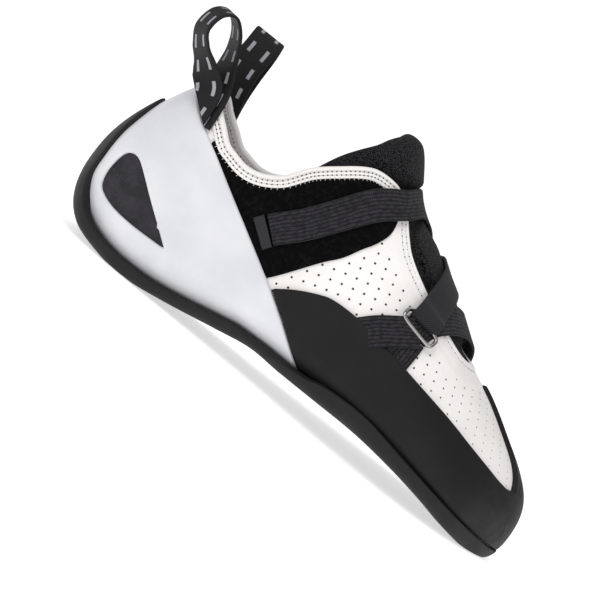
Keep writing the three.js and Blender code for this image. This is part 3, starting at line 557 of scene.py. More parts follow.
class Finish:
    """A material with one principled shader, and short ways to add nodes before it. Its colours are given in
    screen values of 0 to 255."""

    def __init__(self, name, colour, roughness, **constants):
        self.material = bpy.data.materials.new(name)
        self.material.use_nodes = True
        self.tree = self.material.node_tree
        self.shader = self.tree.nodes["Principled BSDF"]
        self.shader.inputs["Base Color"].default_value = linear(*colour)
        self.shader.inputs["Roughness"].default_value = roughness
        for socket, value in constants.items():
            self.shader.inputs[socket.replace("_", " ")].default_value = value

    def add(self, kind, links=(), **settings):
        node = self.tree.nodes.new(kind)
        for key, value in settings.items():
            setattr(node, key, value)
        for socket, source in dict(links).items():
            if hasattr(source, "is_output"):
                self.tree.links.new(source, node.inputs[socket])
            else:
                node.inputs[socket].default_value = source
        return node

    def math(self, operation, first, second=0.0, third=0.0):
        return self.add("ShaderNodeMath", {0: first, 1: second, 2: third}, operation=operation).outputs[0]

    def place(self, scale=1.0):
        """The point in millimetres, times a scale."""
        source = self.add("ShaderNodeTexCoord").outputs["Object"]
        links = {0: source, "Scale": 1000.0 * scale}
        return self.add("ShaderNodeVectorMath", links, operation="SCALE").outputs[0]

    def lay(self):
        """Where the point lies on a ribbon: along it and across it, in millimetres."""
        source = self.add("ShaderNodeUVMap", uv_map="lay").outputs[0]
        parts = self.add("ShaderNodeSeparateXYZ", {0: source})
        return parts.outputs[0], parts.outputs[1]

    def noise(self, size, detail=3.0, roughness=0.55):
        links = {"Vector": self.place(1.0 / size), "Scale": 1.0, "Detail": detail, "Roughness": roughness}
        return self.add("ShaderNodeTexNoise", links).outputs["Fac"]

    def cells(self, size, randomness=1.0):
        links = {"Vector": self.place(1.0 / size), "Scale": 1.0, "Randomness": randomness}
        return self.add("ShaderNodeTexVoronoi", links).outputs["Distance"]

    def between(self, value, low, high, to_low=0.0, to_high=1.0):
        links = {"Value": value, "From Min": low, "From Max": high, "To Min": to_low, "To Max": to_high}
        node = self.add("ShaderNodeMapRange", links, interpolation_type="SMOOTHSTEP")
        return node.outputs[0]

    def wave(self, value, period):
        """Ribs from 0 to 1 that repeat over a period."""
        sine = self.math("SINE", self.math("MULTIPLY", value, 2 * math.pi / period))
        return self.math("MULTIPLY_ADD", sine, 0.5, 0.5)

    def colour(self, factor, first, second):
        """The base colour, from the first to the second as the factor goes from 0 to 1."""
        node = self.add("ShaderNodeMix", {0: factor, 6: linear(*first), 7: linear(*second)}, data_type="RGBA")
        self.tree.links.new(node.outputs[2], self.shader.inputs["Base Color"])

    def rough(self, source):
        self.tree.links.new(source, self.shader.inputs["Roughness"])

    def bump(self, height, depth, strength=1.0):
        """Relief of so many millimetres for heights from 0 to 1."""
        links = {"Height": height, "Distance": depth * MM, "Strength": strength}
        if self.shader.inputs["Normal"].is_linked:
            links["Normal"] = self.shader.inputs["Normal"].links[0].from_socket
        node = self.add("ShaderNodeBump", links)
        self.tree.links.new(node.outputs[0], self.shader.inputs["Normal"])


def microfibre(name="microfibre", colour=(238, 234, 232)):
    finish = Finish(name, colour, 0.62, Specular_IOR_Level=0.35)
    patches = finish.noise(38, 3)
    darker = (colour[0] - 9, colour[1] - 10, colour[2] - 11)
    finish.colour(finish.between(patches, 0.35, 0.7), colour, darker)
    finish.bump(finish.noise(0.55, 4), 0.05)
    finish.bump(finish.cells(1.1), 0.035)
    finish.rough(finish.between(finish.noise(6), 0.3, 0.7, 0.55, 0.7))
    return finish.material


def lining():
    finish = Finish("lining", (50, 47, 50), 0.92, Sheen_Weight=0.3)
    finish.bump(finish.cells(0.9), 0.12)
    return finish.material


def knit():
    finish = Finish("padded_mesh", (16, 16, 17), 0.95, Sheen_Weight=0.06, Sheen_Roughness=0.5,
                    Specular_IOR_Level=0.08)
    cells = finish.cells(0.6, randomness=0.6)
    # Painted highlight: the raised middles of the knit's cells are coloured grey and their edges near black,
    # over the black yarn
    finish.colour(finish.between(cells, 0.2, 0.55), (60, 58, 62), (7, 7, 8))
    finish.bump(finish.between(cells, 0.1, 0.6, 1, 0), 0.22)
    finish.bump(finish.noise(5, 3), 0.3)
    return finish.material


def rubber(name, colour, roughness, scuff=0.12):
    finish = Finish(name, colour, roughness, Specular_IOR_Level=0.22)
    dusty = [shade + 22 for shade in colour]
    worn = finish.noise(14, 6, 0.65)
    finish.colour(finish.between(worn, 0.5, 0.8, 0, scuff * 3), colour, dusty)
    finish.bump(finish.noise(0.8, 5), 0.05)
    finish.bump(finish.noise(9, 3), 0.12)
    finish.rough(finish.between(worn, 0.35, 0.75, roughness - 0.07, roughness + 0.1))
    return finish.material


def pale_rubber():
    finish = Finish("pale_rubber", (206, 207, 212), 0.38, Specular_IOR_Level=0.5)
    patches = finish.noise(30, 4)
    finish.colour(finish.between(patches, 0.3, 0.75), (212, 212, 216), (200, 201, 206))
    finish.bump(finish.noise(16, 3), 0.18)
    finish.bump(finish.noise(0.9, 4), 0.018)
    finish.rough(finish.between(finish.noise(11, 4), 0.3, 0.7, 0.33, 0.46))
    return finish.material


def pebbled_rubber():
    finish = Finish("pebbled_rubber", (44, 40, 46), 0.6, Specular_IOR_Level=0.3)
    cells = finish.cells(1.5)
    finish.bump(finish.between(cells, 0.05, 0.6, 1, 0), 0.3)
    finish.bump(finish.noise(7, 4), 0.25)
    finish.colour(finish.between(finish.noise(9, 4), 0.4, 0.7), (24, 22, 26), (42, 39, 45))
    return finish.material


def nap():
    finish = Finish("nap", (6, 6, 7), 1.0, Sheen_Weight=0.03, Sheen_Roughness=0.6, Specular_IOR_Level=0.03)
    fuzz = finish.noise(0.45, 4, 0.7)
    clumps = finish.noise(2.2, 4, 0.7)
    finish.colour(finish.between(clumps, 0.45, 0.75), (4, 4, 5), (20, 20, 22))
    finish.bump(fuzz, 0.35)
    finish.bump(clumps, 0.35)
    return finish.material


def ribbed_webbing():
    """Lengthwise cords with short slanted picks that turn over from cord to cord. The picks are coloured
    paler as they rise: a painted highlight on the black yarn.
    """
    # The second colour is the painted highlight of the raised picks; the first is the yarn's own black
    dark, light = (12, 11, 13), (74, 71, 77)
    finish = Finish("webbing", dark, 0.82, Sheen_Weight=0.05, Sheen_Roughness=0.5, Specular_IOR_Level=0.15)
    run, across = finish.lay()
    wobble = finish.math("MULTIPLY_ADD", finish.noise(5.0, 2), 1.3, -0.65)
    wide = finish.math("MULTIPLY", finish.math("ADD", across, wobble), math.pi / 1.75)
    cords = finish.math("ABSOLUTE", finish.math("SINE", wide))
    side = finish.math("SIGN", finish.math("SINE", wide))
    slant = finish.math("MULTIPLY_ADD", finish.math("MULTIPLY", across, side), 1.1, run)
    picks = finish.wave(slant, 0.95)
    height = finish.math("MULTIPLY", picks, finish.between(cords, 0.15, 0.75, 0.12, 1.0))
    broken = finish.between(finish.noise(2.4, 3), 0.35, 0.6, 0.35, 1.0)
    height = finish.math("MULTIPLY", height, broken)
    # Painted highlight: pale on the raised picks, with the yarn's black left in the troughs between them
    finish.colour(height, dark, light)
    finish.bump(height, 0.3)
    finish.bump(cords, 0.25)
    return finish.material


def twill_webbing():
    finish = Finish("smooth_webbing", (34, 32, 36), 0.72, Sheen_Weight=0.05, Specular_IOR_Level=0.2)
    run, across = finish.lay()
    ribs = finish.wave(finish.math("MULTIPLY_ADD", across, 0.7, run), 0.95)
    # Painted highlight: the raised ribs of the twill are coloured paler than the yarn between them
    finish.colour(ribs, (20, 19, 21), (44, 42, 46))
    finish.bump(ribs, 0.16)
    finish.bump(finish.noise(3, 3), 0.12)
    return finish.material


def tag_cloth():
    finish = Finish("tag_cloth", (30, 29, 32), 0.5, Specular_IOR_Level=0.3)
    across = finish.lay()[1]
    finish.bump(finish.wave(across, 0.8), 0.08)
    return finish.material


def woven_tape():
    """Black tape with two rows of pale dashes woven in."""
    finish = Finish("tape", (12, 12, 15), 0.6, Specular_IOR_Level=0.25)
    run, across = finish.lay()
    lanes = finish.math("ABSOLUTE", finish.math("SUBTRACT", finish.math("ABSOLUTE", across), 4.0))
    in_lane = finish.between(lanes, 0.75, 0.95, 1, 0)
    beat = finish.math("SINE", finish.math("MULTIPLY", run, 2 * math.pi / 11.0))
    dash = finish.math("MULTIPLY", in_lane, finish.between(beat, -0.1, 0.05))
    finish.colour(dash, (12, 12, 15), (150, 147, 154))
    finish.bump(finish.wave(run, 0.7), 0.1)
    return finish.material


def dark_steel():
    finish = Finish("dark_steel", (158, 155, 154), 0.22, Metallic=1.0)
    finish.rough(finish.between(finish.noise(2.5, 4), 0.35, 0.7, 0.16, 0.32))
    return finish.material


def board():
    finish = Finish("board", (70, 68, 70), 0.95, Sheen_Weight=0.2)
    finish.bump(finish.cells(0.8), 0.1)
    finish.bump(finish.noise(12, 3), 0.3)
    return finish.material


WHITE = microfibre()
BINDING = microfibre("binding_cloth", (234, 231, 228))
LINING = lining()
KNIT = knit()
SOLE_RUBBER = rubber("sole_rubber", (26, 24, 25), 0.62)
RAND_RUBBER = rubber("rand_rubber", (18, 16, 18), 0.6, scuff=0.05)
PALE_RUBBER = pale_rubber()
PEBBLED = pebbled_rubber()
NAP = nap()
WEBBING = ribbed_webbing()
TWILL = twill_webbing()
TAG = tag_cloth()
TAPE = woven_tape()
STEEL = dark_steel()
THREAD = Finish("pale_thread", (206, 203, 201), 0.7, Sheen_Weight=0.1).material
# Dark dots for the perforations: the dark lining seen through each hole, with painted shade of the hole's
# walls
PINHOLE_LINING_AND_SHADE = Finish("pinhole", (58, 53, 55), 1.0, Specular_IOR_Level=0.0).material
# Painted shade: the dark inside each needle hole of the binding and the throat
NEEDLE_HOLE_SHADE = Finish("needle_hole", (84, 78, 78), 1.0, Specular_IOR_Level=0.0).material
BOARD = board()


# The upper, its holes and its edge

# Soft creases of the upper: where along and how far round each starts and ends, depth and width
CREASES = [
    [0.700, 0.62, 0.742, 0.22, 0.30, 7.0],
    [0.730, 0.72, 0.790, 0.30, 0.22, 8.0],
    [0.620, 0.66, 0.652, 0.36, 0.20, 6.0],
    [0.690, -0.60, 0.735, -0.20, 0.30, 7.0],
    [0.640, -0.62, 0.690, -0.34, 0.22, 7.0],
    [0.520, 0.62, 0.560, 0.44, 0.25, 8.0],
    [0.300, -0.70, 0.380, -0.62, 0.30, 9.0],
    [0.420, -0.60, 0.470, -0.50, 0.28, 9.0],
]


def crease_relief(points):
    relief = 0.10 * np.sin(points[:, 0] / 13 + points[:, 1] / 17) * np.sin(points[:, 2] / 15 + 0.8)
    for start, start_turn, end, end_turn, depth, width in CREASES:
        a = surface(np.array([start]), np.array([start_turn]))[0]
        b = surface(np.array([end]), np.array([end_turn]))[0]
        f = np.clip(((points - a) @ (b - a)) / ((b - a) @ (b - a)), -0.3, 1.3)
        apart = np.linalg.norm(points - a - f[:, None] * (b - a), axis=1)
        fade = 1 - smoothstep(0.7, 1.3, np.abs(2 * f - 1))
        relief -= depth * fade * np.exp(-(apart / (0.35 * width)) ** 2)
        relief += 0.6 * depth * fade * np.exp(-((apart - 0.75 * width) / (0.5 * width)) ** 2)
    return relief


THROAT_BAND = 8.4
THROAT_BAND_HEIGHT = 0.42
THROAT_ROWS = (3.0, 5.5)
# Ridges and troughs beside the throat's edge: how far from it, how wide and how high
THROAT_RIDGES = [(0.9, 0.7, 0.5), (1.9, 0.3, -0.3)] + [(row, 0.45, -0.30) for row in THROAT_ROWS]
# How far the pinholes keep from an edge
HOLE_MARGIN = 0.8


def upper_relief(points):
    near = distance_to(side_view(points), THROAT_LINE)
    relief = THROAT_BAND_HEIGHT * (1 - smoothstep(THROAT_BAND - HOLE_MARGIN, THROAT_BAND, near))
    for place, width, height in THROAT_RIDGES:
        relief += height * np.exp(-((near - place) / width) ** 2)
    return relief + crease_relief(points)


def build_upper():
    points, normals, depth, faces, edges = cut_cells(
        lambda p: below_mouth(p, BINDING_LIFT), (0.0, 0.3, 0.8, 1.5), 1.75)
    wall = rounded(depth, UPPER_WALL / 2)
    outer = -UPPER_WALL / 2 * (1 - wall) + upper_relief(points) * smoothstep(0, 1.5, depth)
    inner = -UPPER_WALL + UPPER_WALL / 2 * (1 - wall)
    lining = len(faces)
    points, faces = walled(points + normals * outer[:, None], points + normals * inner[:, None], faces, edges)
    sides = [0] * (len(faces) - lining) + [1] * lining
    add_piece("upper", points, faces, [WHITE, LINING], sides, sharp=70)


# The hole pattern's first place, its two steps, how often each is made, and the hole's radius
HOLE_ORIGIN = (60, -10)
HOLE_STEPS = ((5.35, 1.84), (3.67, 6.55))
HOLE_COLUMNS = range(-60, 80)
HOLE_ROWS = range(-5, 40)
HOLE_RADIUS = 0.52
PINHOLE_LIFT = 0.05
GIRTH_TURNS = np.linspace(1.0, -1.0, 321)
# The inside's holes start at the first share, and behind the second they are laid from the inside's belly up
INSIDE_PATTERN_START = 0.34
INSIDE_PATTERN_END = 0.574


def discs(centres, normals, radius, sides=10):
    """Small round dots that lie on a surface."""
    angles = 2 * math.pi * np.arange(sides)[:, None] / sides
    points, faces = [], []
    for centre, normal, size in zip(centres, normals, radius):
        first = unit(np.cross(normal, (0.3, 0.2, 1.0)))
        rim = np.cos(angles) * first + np.sin(angles) * np.cross(normal, first)
        start = len(points)
        points += [centre, *(centre + size * rim)]
        faces += [(start, start + 1 + side, start + 1 + (side + 1) % sides) for side in range(sides)]
    return np.array(points), faces


def hole_places():
    """Places (share, turn) of a staggered pattern laid over the upper from belly to belly."""
    shares = np.linspace(0.30, 0.97, 400)
    rings = last_points(place_of(shares)[:, None], GIRTH_TURNS)
    girth = np.array([lengths_along(ring) for ring in rings])
    (ax, ay), (bx, by) = HOLE_STEPS
    places = []
    for i in HOLE_COLUMNS:
        for j in HOLE_ROWS:
            share = (HOLE_ORIGIN[0] + i * ax + j * bx) / SHOE_LENGTH + ORIGIN_SHARE
            run = HOLE_ORIGIN[1] + (i * ay + j * by)
            if not shares[0] < share < shares[-1]:
                continue
            lengths = picked(girth, np.interp(share, shares, np.arange(len(shares))))[0]
            if not 0 < run < lengths[-1]:
                continue
            for from_inside, length in ((False, run), (True, lengths[-1] - run)):
                turn = np.interp(length, lengths, GIRTH_TURNS)
                if (turn < 0 and share < INSIDE_PATTERN_END) == from_inside:
                    places.append((share, turn))
    return np.array(places)


def build_pinholes():
    share, turn = hole_places().T
    points, normals = surface(share, turn), surface_normals(share, turn)
    from_edge = np.minimum(below_mouth(points, 0.0), distance_to(side_view(points), THROAT_LINE))
    keep = from_edge > THROAT_BAND - HOLE_MARGIN
    for field in (in_toe_rand, in_heel_rand, in_loop_panel):
        keep &= field(points) < -HOLE_MARGIN
    keep &= ~((points[:, 1] > 0) & (share < INSIDE_PATTERN_START))
    points, normals, share = points[keep], normals[keep], share[keep]
    size = HOLE_RADIUS * (1.1 - 0.5 * smoothstep(0.6, 0.9, share))
    centres = points + normals * (upper_relief(points) + PINHOLE_LIFT)[:, None]
    add_piece("pinholes", *discs(centres, normals, size), [PINHOLE_LINING_AND_SHADE], extra=True, sharp=20)


build_upper()
build_pinholes()


# The rubber: rands, windows and sole

def build_rands():
    def heel(p):
        return np.minimum.reduce([in_heel_rand(p), -in_sole(p) - CLEARANCE, -in_window(p)])

    def toe(p):
        return np.minimum.reduce([in_toe_rand(p), -in_sole(p) - CLEARANCE, -in_heel_rand(p) - CLEARANCE])
    overlay("heel_rand", heel, RAND_THICKNESS, PALE_RUBBER, cell=1.2)
    overlay("toe_rand", toe, RAND_THICKNESS, RAND_RUBBER)
    for side, name in ((-1, "heel_window_outside"), (1, "heel_window_inside")):
        overlay(name, lambda p, side=side: np.minimum(in_window(p) + CLEARANCE, side * p[:, 1]),
                WINDOW_PANEL_THICKNESS, PEBBLED, cell=1.0)


def build_loop_panel():
    def field(p):
        return np.minimum.reduce(
            [in_loop_panel(p), -in_heel_rand(p) - CLEARANCE + 1.2, below_mouth(p, BINDING_DEPTH - 0.6)])
    overlay("loop_panel", field, LOOP_PANEL_THICKNESS, NAP, edge=0.9)


# How far the sole's top lies inside the last, and its least height over the floor
SOLE_SINK = 0.8
SOLE_LEAST = 0.4


def sole_lift(points):
    at_heel = 1 - smoothstep(along(0.03), along(0.12), points[:, 0])
    return SOLE_OVERHANG + (HEEL_STRIP_THICKNESS - SOLE_OVERHANG) * at_heel


def build_outsole():
    levels = (0.0, 0.15, 0.5, 1.0)
    points, normals, depth, faces, edges = cut_cells(in_sole, levels, 1.6, sole=True, lift=SOLE_OVERHANG)
    height = sole_lift(points) - 0.5 * (1 - rounded(depth, 0.6))
    outer = points + normals * height[:, None]
    outer[:, 2] = np.maximum(outer[:, 2], 0.0)
    inner = points - normals * SOLE_SINK
    inner[:, 2] = np.maximum(inner[:, 2], SOLE_LEAST)
    points, faces = walled(outer, inner, faces, edges)
    add_piece("outsole", points, faces, [SOLE_RUBBER], sharp=60)


build_rands()
build_loop_panel()
build_outsole()


# Inside: insole and tongue

def build_insole():
    def field(p):
        section = sections_at(place_at(p[:, 0]))
        width = width_at(section[:, 0])
        half = (section[:, 4] + section[:, 5]) / 2 * width * INSOLE_SHARE
        middle = (section[:, 5] - section[:, 4]) / 2 * width
        return np.minimum(half - np.abs(p[:, 1] - middle), float(up(0.20)) - p[:, 2])
    points, normals, depth, faces, edges = cut_cells(field, (0.0, 0.4, 1.0), 2.6)
    seat = UPPER_WALL + 2 * CLEARANCE
    top = points - normals * (seat + INSOLE_THICKNESS * rounded(depth, 1.0))[:, None]
    points, faces = walled(top, points - normals * seat, turned_faces(faces), turned_faces(edges), False)
    add_piece("insole", points, faces, [BOARD])


# Spans over which the tongue's form changes: shares of the length, and of the instep's height for the last
COLLAR_END = (0.485, 0.54)
SWELL_START = (0.53, 0.58)
FLARE_REAR = (0.38, 0.44)
FLARE_FRONT = (0.481, 0.493)
FLARE_RISE = (0.985, 1.035)
# How far in from its edge the tongue is rounded
TONGUE_ROUND = 2.2


def tongue_lift(points):
    """How far the tongue's outer side lies from the last."""
    x, z = points[:, 0], points[:, 2]
    at_collar = 1 - smoothstep(*along(COLLAR_END), x)
    lining_gap = (BINDING_WALL + 2 * CLEARANCE) * at_collar
    bulge = TONGUE_BULGE + (TONGUE_SWELL - TONGUE_BULGE) * smoothstep(*along(SWELL_START), x)
    start = up(0.02) + up(0.19) * at_collar
    ramp = up(0.015) + up(0.055) * at_collar
    bare = smoothstep(0, 1, (z - collar_height(x) - start) / ramp)
    flare = smoothstep(*up(FLARE_RISE), z) * smoothstep(*along(FLARE_REAR), x)
    flare *= 1 - smoothstep(*along(FLARE_FRONT), x)
    return -UPPER_WALL - CLEARANCE - lining_gap + (bulge + lining_gap) * bare + TONGUE_FLARE * flare


def in_tongue(points):
    rise = TONGUE_HEIGHT / float(up(1.184))
    edge = TONGUE_EDGE * (1, rise)
    top = [[along(0.43), up(1.4)], [along(0.9), up(1.4)]]
    margin = [[along(share), up(height)] for share, height in TONGUE_MARGIN]
    return depth_in(side_view(points), np.vstack([edge, top, margin]))


def build_tongue():
    points, normals, depth, faces, edges = cut_cells(in_tongue, (0.0, 0.12, 0.4, 0.9, 1.6, 2.4), 1.5)
    middle = tongue_lift(points) - TONGUE_THICKNESS / 2
    half = TONGUE_THICKNESS / 2 * rounded(depth, TONGUE_ROUND)
    soft = 0.25 * np.sin(points[:, 0] / 5.1 + points[:, 1] / 8) * np.sin(points[:, 1] / 6.3 + 1)
    soft *= smoothstep(0, 4, points[:, 2] - collar_height(points[:, 0]))
    outer = points + normals * (middle + half + soft)[:, None]
    inner = points + normals * (middle - half + soft)[:, None]
    points, faces = walled(outer, inner, faces, edges)
    tongue = add_piece("tongue", points, faces, [KNIT], sharp=80)


build_insole()
build_tongue()


# The collar's binding: the share at its front end, and the depths of its rows of stitches
COLLAR_FRONT = 0.482
SEAM_DEPTHS = (3.1, 4.7)
LINING_SEAM_DEPTH = 3.6


def mouth_path(line, rear, front, count=900):
    """Places (share, turn) along a line of the mouth, from front outside round the heel to front inside."""
    f = np.linspace(0, 1, count) ** 2
    x = rear + (front - rear) * f
    z = np.interp(x, line[:, 0], line[:, 1])
    t = place_at(x)
    outside = np.column_stack([t, turn_at_height(t, z, 1)])[::-1]
    inside = np.column_stack([t, turn_at_height(t, z, -1)])
    return np.vstack([outside, inside[1:]])


def crest_rear(line):
    """Where the line meets the crest at the back of the heel."""
    x = np.linspace(along(0.02), along(0.2), 4000)
    t = place_at(x)
    crown = up(sections_at(t)[:, 2])
    return x[np.argmax(crown > np.interp(x, line[:, 0], line[:, 1]))]


def resampled(path, step):
    lengths = step_lengths(last_points(*path.T))
    return picked(path, even_places(lengths, max(2, int(round(lengths.sum() / step)) + 1)))


def tangents(points):
    return unit(np.gradient(points, axis=0))


# The longest step in one go, and the step in rows or turns that slopes are measured over
LONGEST_STEP = 1.5
NUDGE = 0.01


def moved(t, turn, direction, distance):
    """The places on the last that lie a distance away in a direction along it, in small steps."""
    t, turn = t.copy(), turn.copy()
    steps = max(1, math.ceil(abs(distance) / LONGEST_STEP))
    push = direction * (distance / steps)
    for _ in range(steps):
        a_vec = (last_points(t + NUDGE, turn) - last_points(t - NUDGE, turn)) / (2 * NUDGE)
        b_vec = (last_points(t, turn + NUDGE) - last_points(t, turn - NUDGE)) / (2 * NUDGE)
        a, b, c = (a_vec * a_vec).sum(-1), (a_vec * b_vec).sum(-1), (b_vec * b_vec).sum(-1)
        p, q = (a_vec * push).sum(-1), (b_vec * push).sum(-1)
        scale = np.maximum(a * c - b * b, 1e-9)
        t += (p * c - q * b) / scale
        turn += (q * a - p * b) / scale
    return t, turn


def downward(path):
    """The direction along the last that leads away from the mouth, for paths that run from front outside
    round the heel to front inside."""
    t, turn = path.T
    return unit(np.cross(last_normals(t, turn), tangents(last_points(t, turn))))


def swept(path, profile):
    """Rings along a path on the last, from profile rows of (down from the path, height over the last)."""
    t, turn = path.T
    down = downward(path)
    return [lifted(*moved(t, turn, down, depth), height) for depth, height in profile]


def build_binding():
    rear = crest_rear(ANKLE_LINE)
    path = resampled(mouth_path(ANKLE_LINE, rear, along(COLLAR_FRONT)), 1.4)
    top, under = BINDING_LIFT, -UPPER_WALL - BINDING_LIFT
    radius = (UPPER_WALL + 2 * BINDING_LIFT) / 2
    middle = top - radius
    groove = 0.3
    profile = [(BINDING_DEPTH, -0.1), (BINDING_DEPTH, top - 0.5), (BINDING_DEPTH - 0.25, top - 0.12),
               (BINDING_DEPTH - 0.7, top)]
    profile += [(5.1, top), (SEAM_DEPTHS[1], top - groove), (4.3, top), (3.5, top),
                (SEAM_DEPTHS[0], top - groove), (2.7, top - 0.1), (2.35, top - 0.45)]
    profile += [(radius - radius * math.sin(a), middle + radius * math.cos(a))
                for a in np.linspace(0, math.pi, 11)]
    profile += [(2.4, under + 0.3), (3.2, under), (4.6, under), (BINDING_DEPTH - 0.4, under),
                (BINDING_DEPTH, under + 0.3), (BINDING_DEPTH, -UPPER_WALL + 0.2)]
    points = np.vstack(swept(path, profile))
    add_piece("collar_binding", points, band_faces(len(profile), len(path), ring=False), [BINDING])


build_binding()


# Stitches

# One stitch of thread: its corners as shares of half its length and of its radius, and its faces
GRAIN = np.array([[-1, 0, 0], [-0.7, 0.7, 0.3], [-0.7, -0.7, 0.3], [-0.7, 0, 1],
                  [0.7, 0.7, 0.3], [0.7, -0.7, 0.3], [0.7, 0, 1], [1, 0, 0]])
GRAIN_FACES = [(0, 3, 1), (0, 2, 3), (1, 3, 6, 4), (3, 2, 5, 6), (7, 4, 6), (7, 6, 5)]


def stitches(path, depth, height, length=2.3, gap=0.9, radius=0.26, slant=0.0, inside=False):
    """A row of single stitches at a depth below a path, each a small rounded grain of thread."""
    row = resampled(path, length + gap)
    run, down = tangents(last_points(*row.T)), downward(row)
    centre, normal = on_last(*moved(*row.T, down, depth))
    rise = -radius if inside else radius
    points, faces = [], []
    for c, n, r, d in zip(centre, normal, run, down):
        r = unit(r * math.cos(slant) + d * math.sin(slant))
        side = np.cross(n, r)
        faces += [tuple(len(points) + k for k in face) for face in GRAIN_FACES]
        points += [c + r * (x * length / 2) + side * (y * radius) + n * (height + z * rise)
                   for x, y, z in GRAIN]
    return np.array(points), faces


def needle_holes(path, depth, height, step=2.1, radius=0.4, inside=False):
    """The needle holes of a row of stitches, as dark discs of painted shade."""
    row = resampled(path, step)
    row = (row[1:] + row[:-1]) / 2
    points, normals = on_last(*moved(*row.T, downward(row), depth))
    return discs(points + normals * height, -normals if inside else normals, np.full(len(row), radius))


def join(parts):
    points, faces, start = [], [], 0
    for part_points, part_faces in parts:
        points.append(part_points)
        faces += [tuple(start + k for k in face) for face in part_faces]
        start += len(part_points)
    return np.vstack(points), faces


def throat_path(side):
    """The throat's edge on one side, in the same sense as the mouth's path."""
    t = place_at(THROAT_LINE[:, 0])
    turn = turn_at_height(t, THROAT_LINE[:, 1], side)
    return np.column_stack([t, turn])[turn * side > 0.02][::-side]


def build_stitches():
    collar = mouth_path(ANKLE_LINE, crest_rear(ANKLE_LINE), along(COLLAR_FRONT))
    lining = -UPPER_WALL - BINDING_LIFT - 0.05
    threads = [stitches(collar, depth, BINDING_LIFT - 0.06, length=1.3, gap=0.8) for depth in SEAM_DEPTHS]
    threads.append(stitches(collar, LINING_SEAM_DEPTH, lining, inside=True))
    threads.append(stitches(collar, BINDING_DEPTH - 0.1, BINDING_LIFT + 0.1, length=1.9, gap=0.3, radius=0.2,
                            slant=math.radians(76)))
    holes = [needle_holes(collar, depth, BINDING_LIFT + 0.04) for depth in SEAM_DEPTHS]
    holes.append(needle_holes(collar, LINING_SEAM_DEPTH, lining, inside=True))
    for path in (throat_path(1), throat_path(-1)):
        threads += [stitches(path, row, 0.42, length=2.0) for row in THROAT_ROWS]
        holes += [needle_holes(path, row, 0.46, step=2.9, radius=0.36) for row in THROAT_ROWS]
    add_piece("stitches", *join(threads), [THREAD], extra=True, sharp=50)
    add_piece("needle_holes", *join(holes), [NEEDLE_HOLE_SHADE], extra=True, sharp=20)


build_stitches()


# Webbing: straps, anchors and rings

ON_UPPER = CLEARANCE
ON_INSTEP = ON_UPPER + 0.6
ON_PANEL = CLEARANCE + LOOP_PANEL_THICKNESS + CLEARANCE
OVER_EDGE = ON_PANEL + 0.4
ON_BAND = ON_UPPER + WEBBING_THICKNESS + CLEARANCE
ON_TONGUE = TONGUE_SWELL - UPPER_WALL + CLEARANCE
ON_TONGUE_BAND = ON_TONGUE + WEBBING_THICKNESS + CLEARANCE
RING_MIDDLE = ON_BAND + RING_WIRE / 2
OVER_WIRE = ON_BAND + RING_WIRE + 3 * CLEARANCE
FOLD_DIP = 0.6
WEBBING_STEP = 1.2

UPPER_STRAP = [
    [0.337, 0.875, ON_PANEL], [0.383, 0.780, ON_PANEL], [0.432, 0.600, OVER_EDGE], [0.484, 0.300, OVER_EDGE],
    [0.506, 0.000, ON_UPPER + 0.4], [0.530, -0.250, ON_INSTEP], [0.555, -0.400, ON_UPPER],
    [0.567, -0.480, ON_UPPER],
]
STRAP_TAG = [[0.324, 0.902, ON_PANEL], [0.3345, 0.8805, ON_PANEL]]
DIAGONAL_STRAP = [
    [0.638, 0.503, ON_BAND + FOLD_DIP], [0.6378, 0.480, OVER_WIRE], [0.6375, 0.457, OVER_WIRE],
    [0.637, 0.425, OVER_WIRE], [0.637, 0.370, ON_BAND + 0.8], [0.631, 0.250, ON_TONGUE_BAND],
    [0.624, 0.130, ON_TONGUE_BAND], [0.616, 0.000, ON_TONGUE], [0.600, -0.220, ON_BAND + 0.8],
    [0.586, -0.360, ON_BAND + 0.8], [0.581, -0.415, OVER_WIRE], [0.578, -0.448, OVER_WIRE],
    [0.576, -0.475, OVER_WIRE], [0.574, -0.500, ON_BAND + FOLD_DIP],
]
LOWER_STRAP = [
    [0.6395, 0.564, ON_UPPER], [0.641, 0.490, ON_UPPER], [0.652, 0.380, ON_UPPER],
    [0.675, 0.200, ON_TONGUE], [0.697, 0.000, ON_TONGUE + 0.3], [0.712, -0.220, ON_TONGUE],
    [0.722, -0.400, ON_UPPER], [0.726, -0.480, ON_UPPER],
]
ANCHOR_UNDER = [
    [0.640, 0.800, ON_UPPER], [0.640, 0.720, ON_UPPER], [0.640, 0.640, ON_UPPER], [0.6395, 0.580, ON_UPPER],
]
ANCHOR_OVER = [
    [0.556, 0.830, ON_UPPER], [0.570, 0.785, ON_UPPER], [0.590, 0.720, ON_BAND], [0.612, 0.650, ON_BAND],
    [0.633, 0.580, ON_BAND], [0.640, 0.550, ON_BAND],
]
INSIDE_ANCHOR = [
    [0.566, -0.820, ON_UPPER], [0.568, -0.700, ON_UPPER], [0.571, -0.600, ON_UPPER],
    [0.572, -0.548, ON_UPPER],
]
OUTSIDE_RING = ([0.603, 0.550], [0.674, 0.490])
INSIDE_RING = ([0.537, -0.490], [0.607, -0.540])


def ribbon_section(width, thickness, columns=14):
    """A closed outline across a ribbon: (across, height) with rounded edges."""
    half, radius = width / 2, thickness / 2
    flat = np.linspace(-half + radius, half - radius, columns)
    arc = np.linspace(math.pi / 2, -math.pi / 2, 5)[1:-1]
    top = [(u, radius) for u in flat]
    right = [(half - radius + radius * math.cos(a), radius * math.sin(a)) for a in arc]
    return np.array(top + right + [(u, -radius) for u in flat[::-1]] + [(-u, -v) for u, v in right])


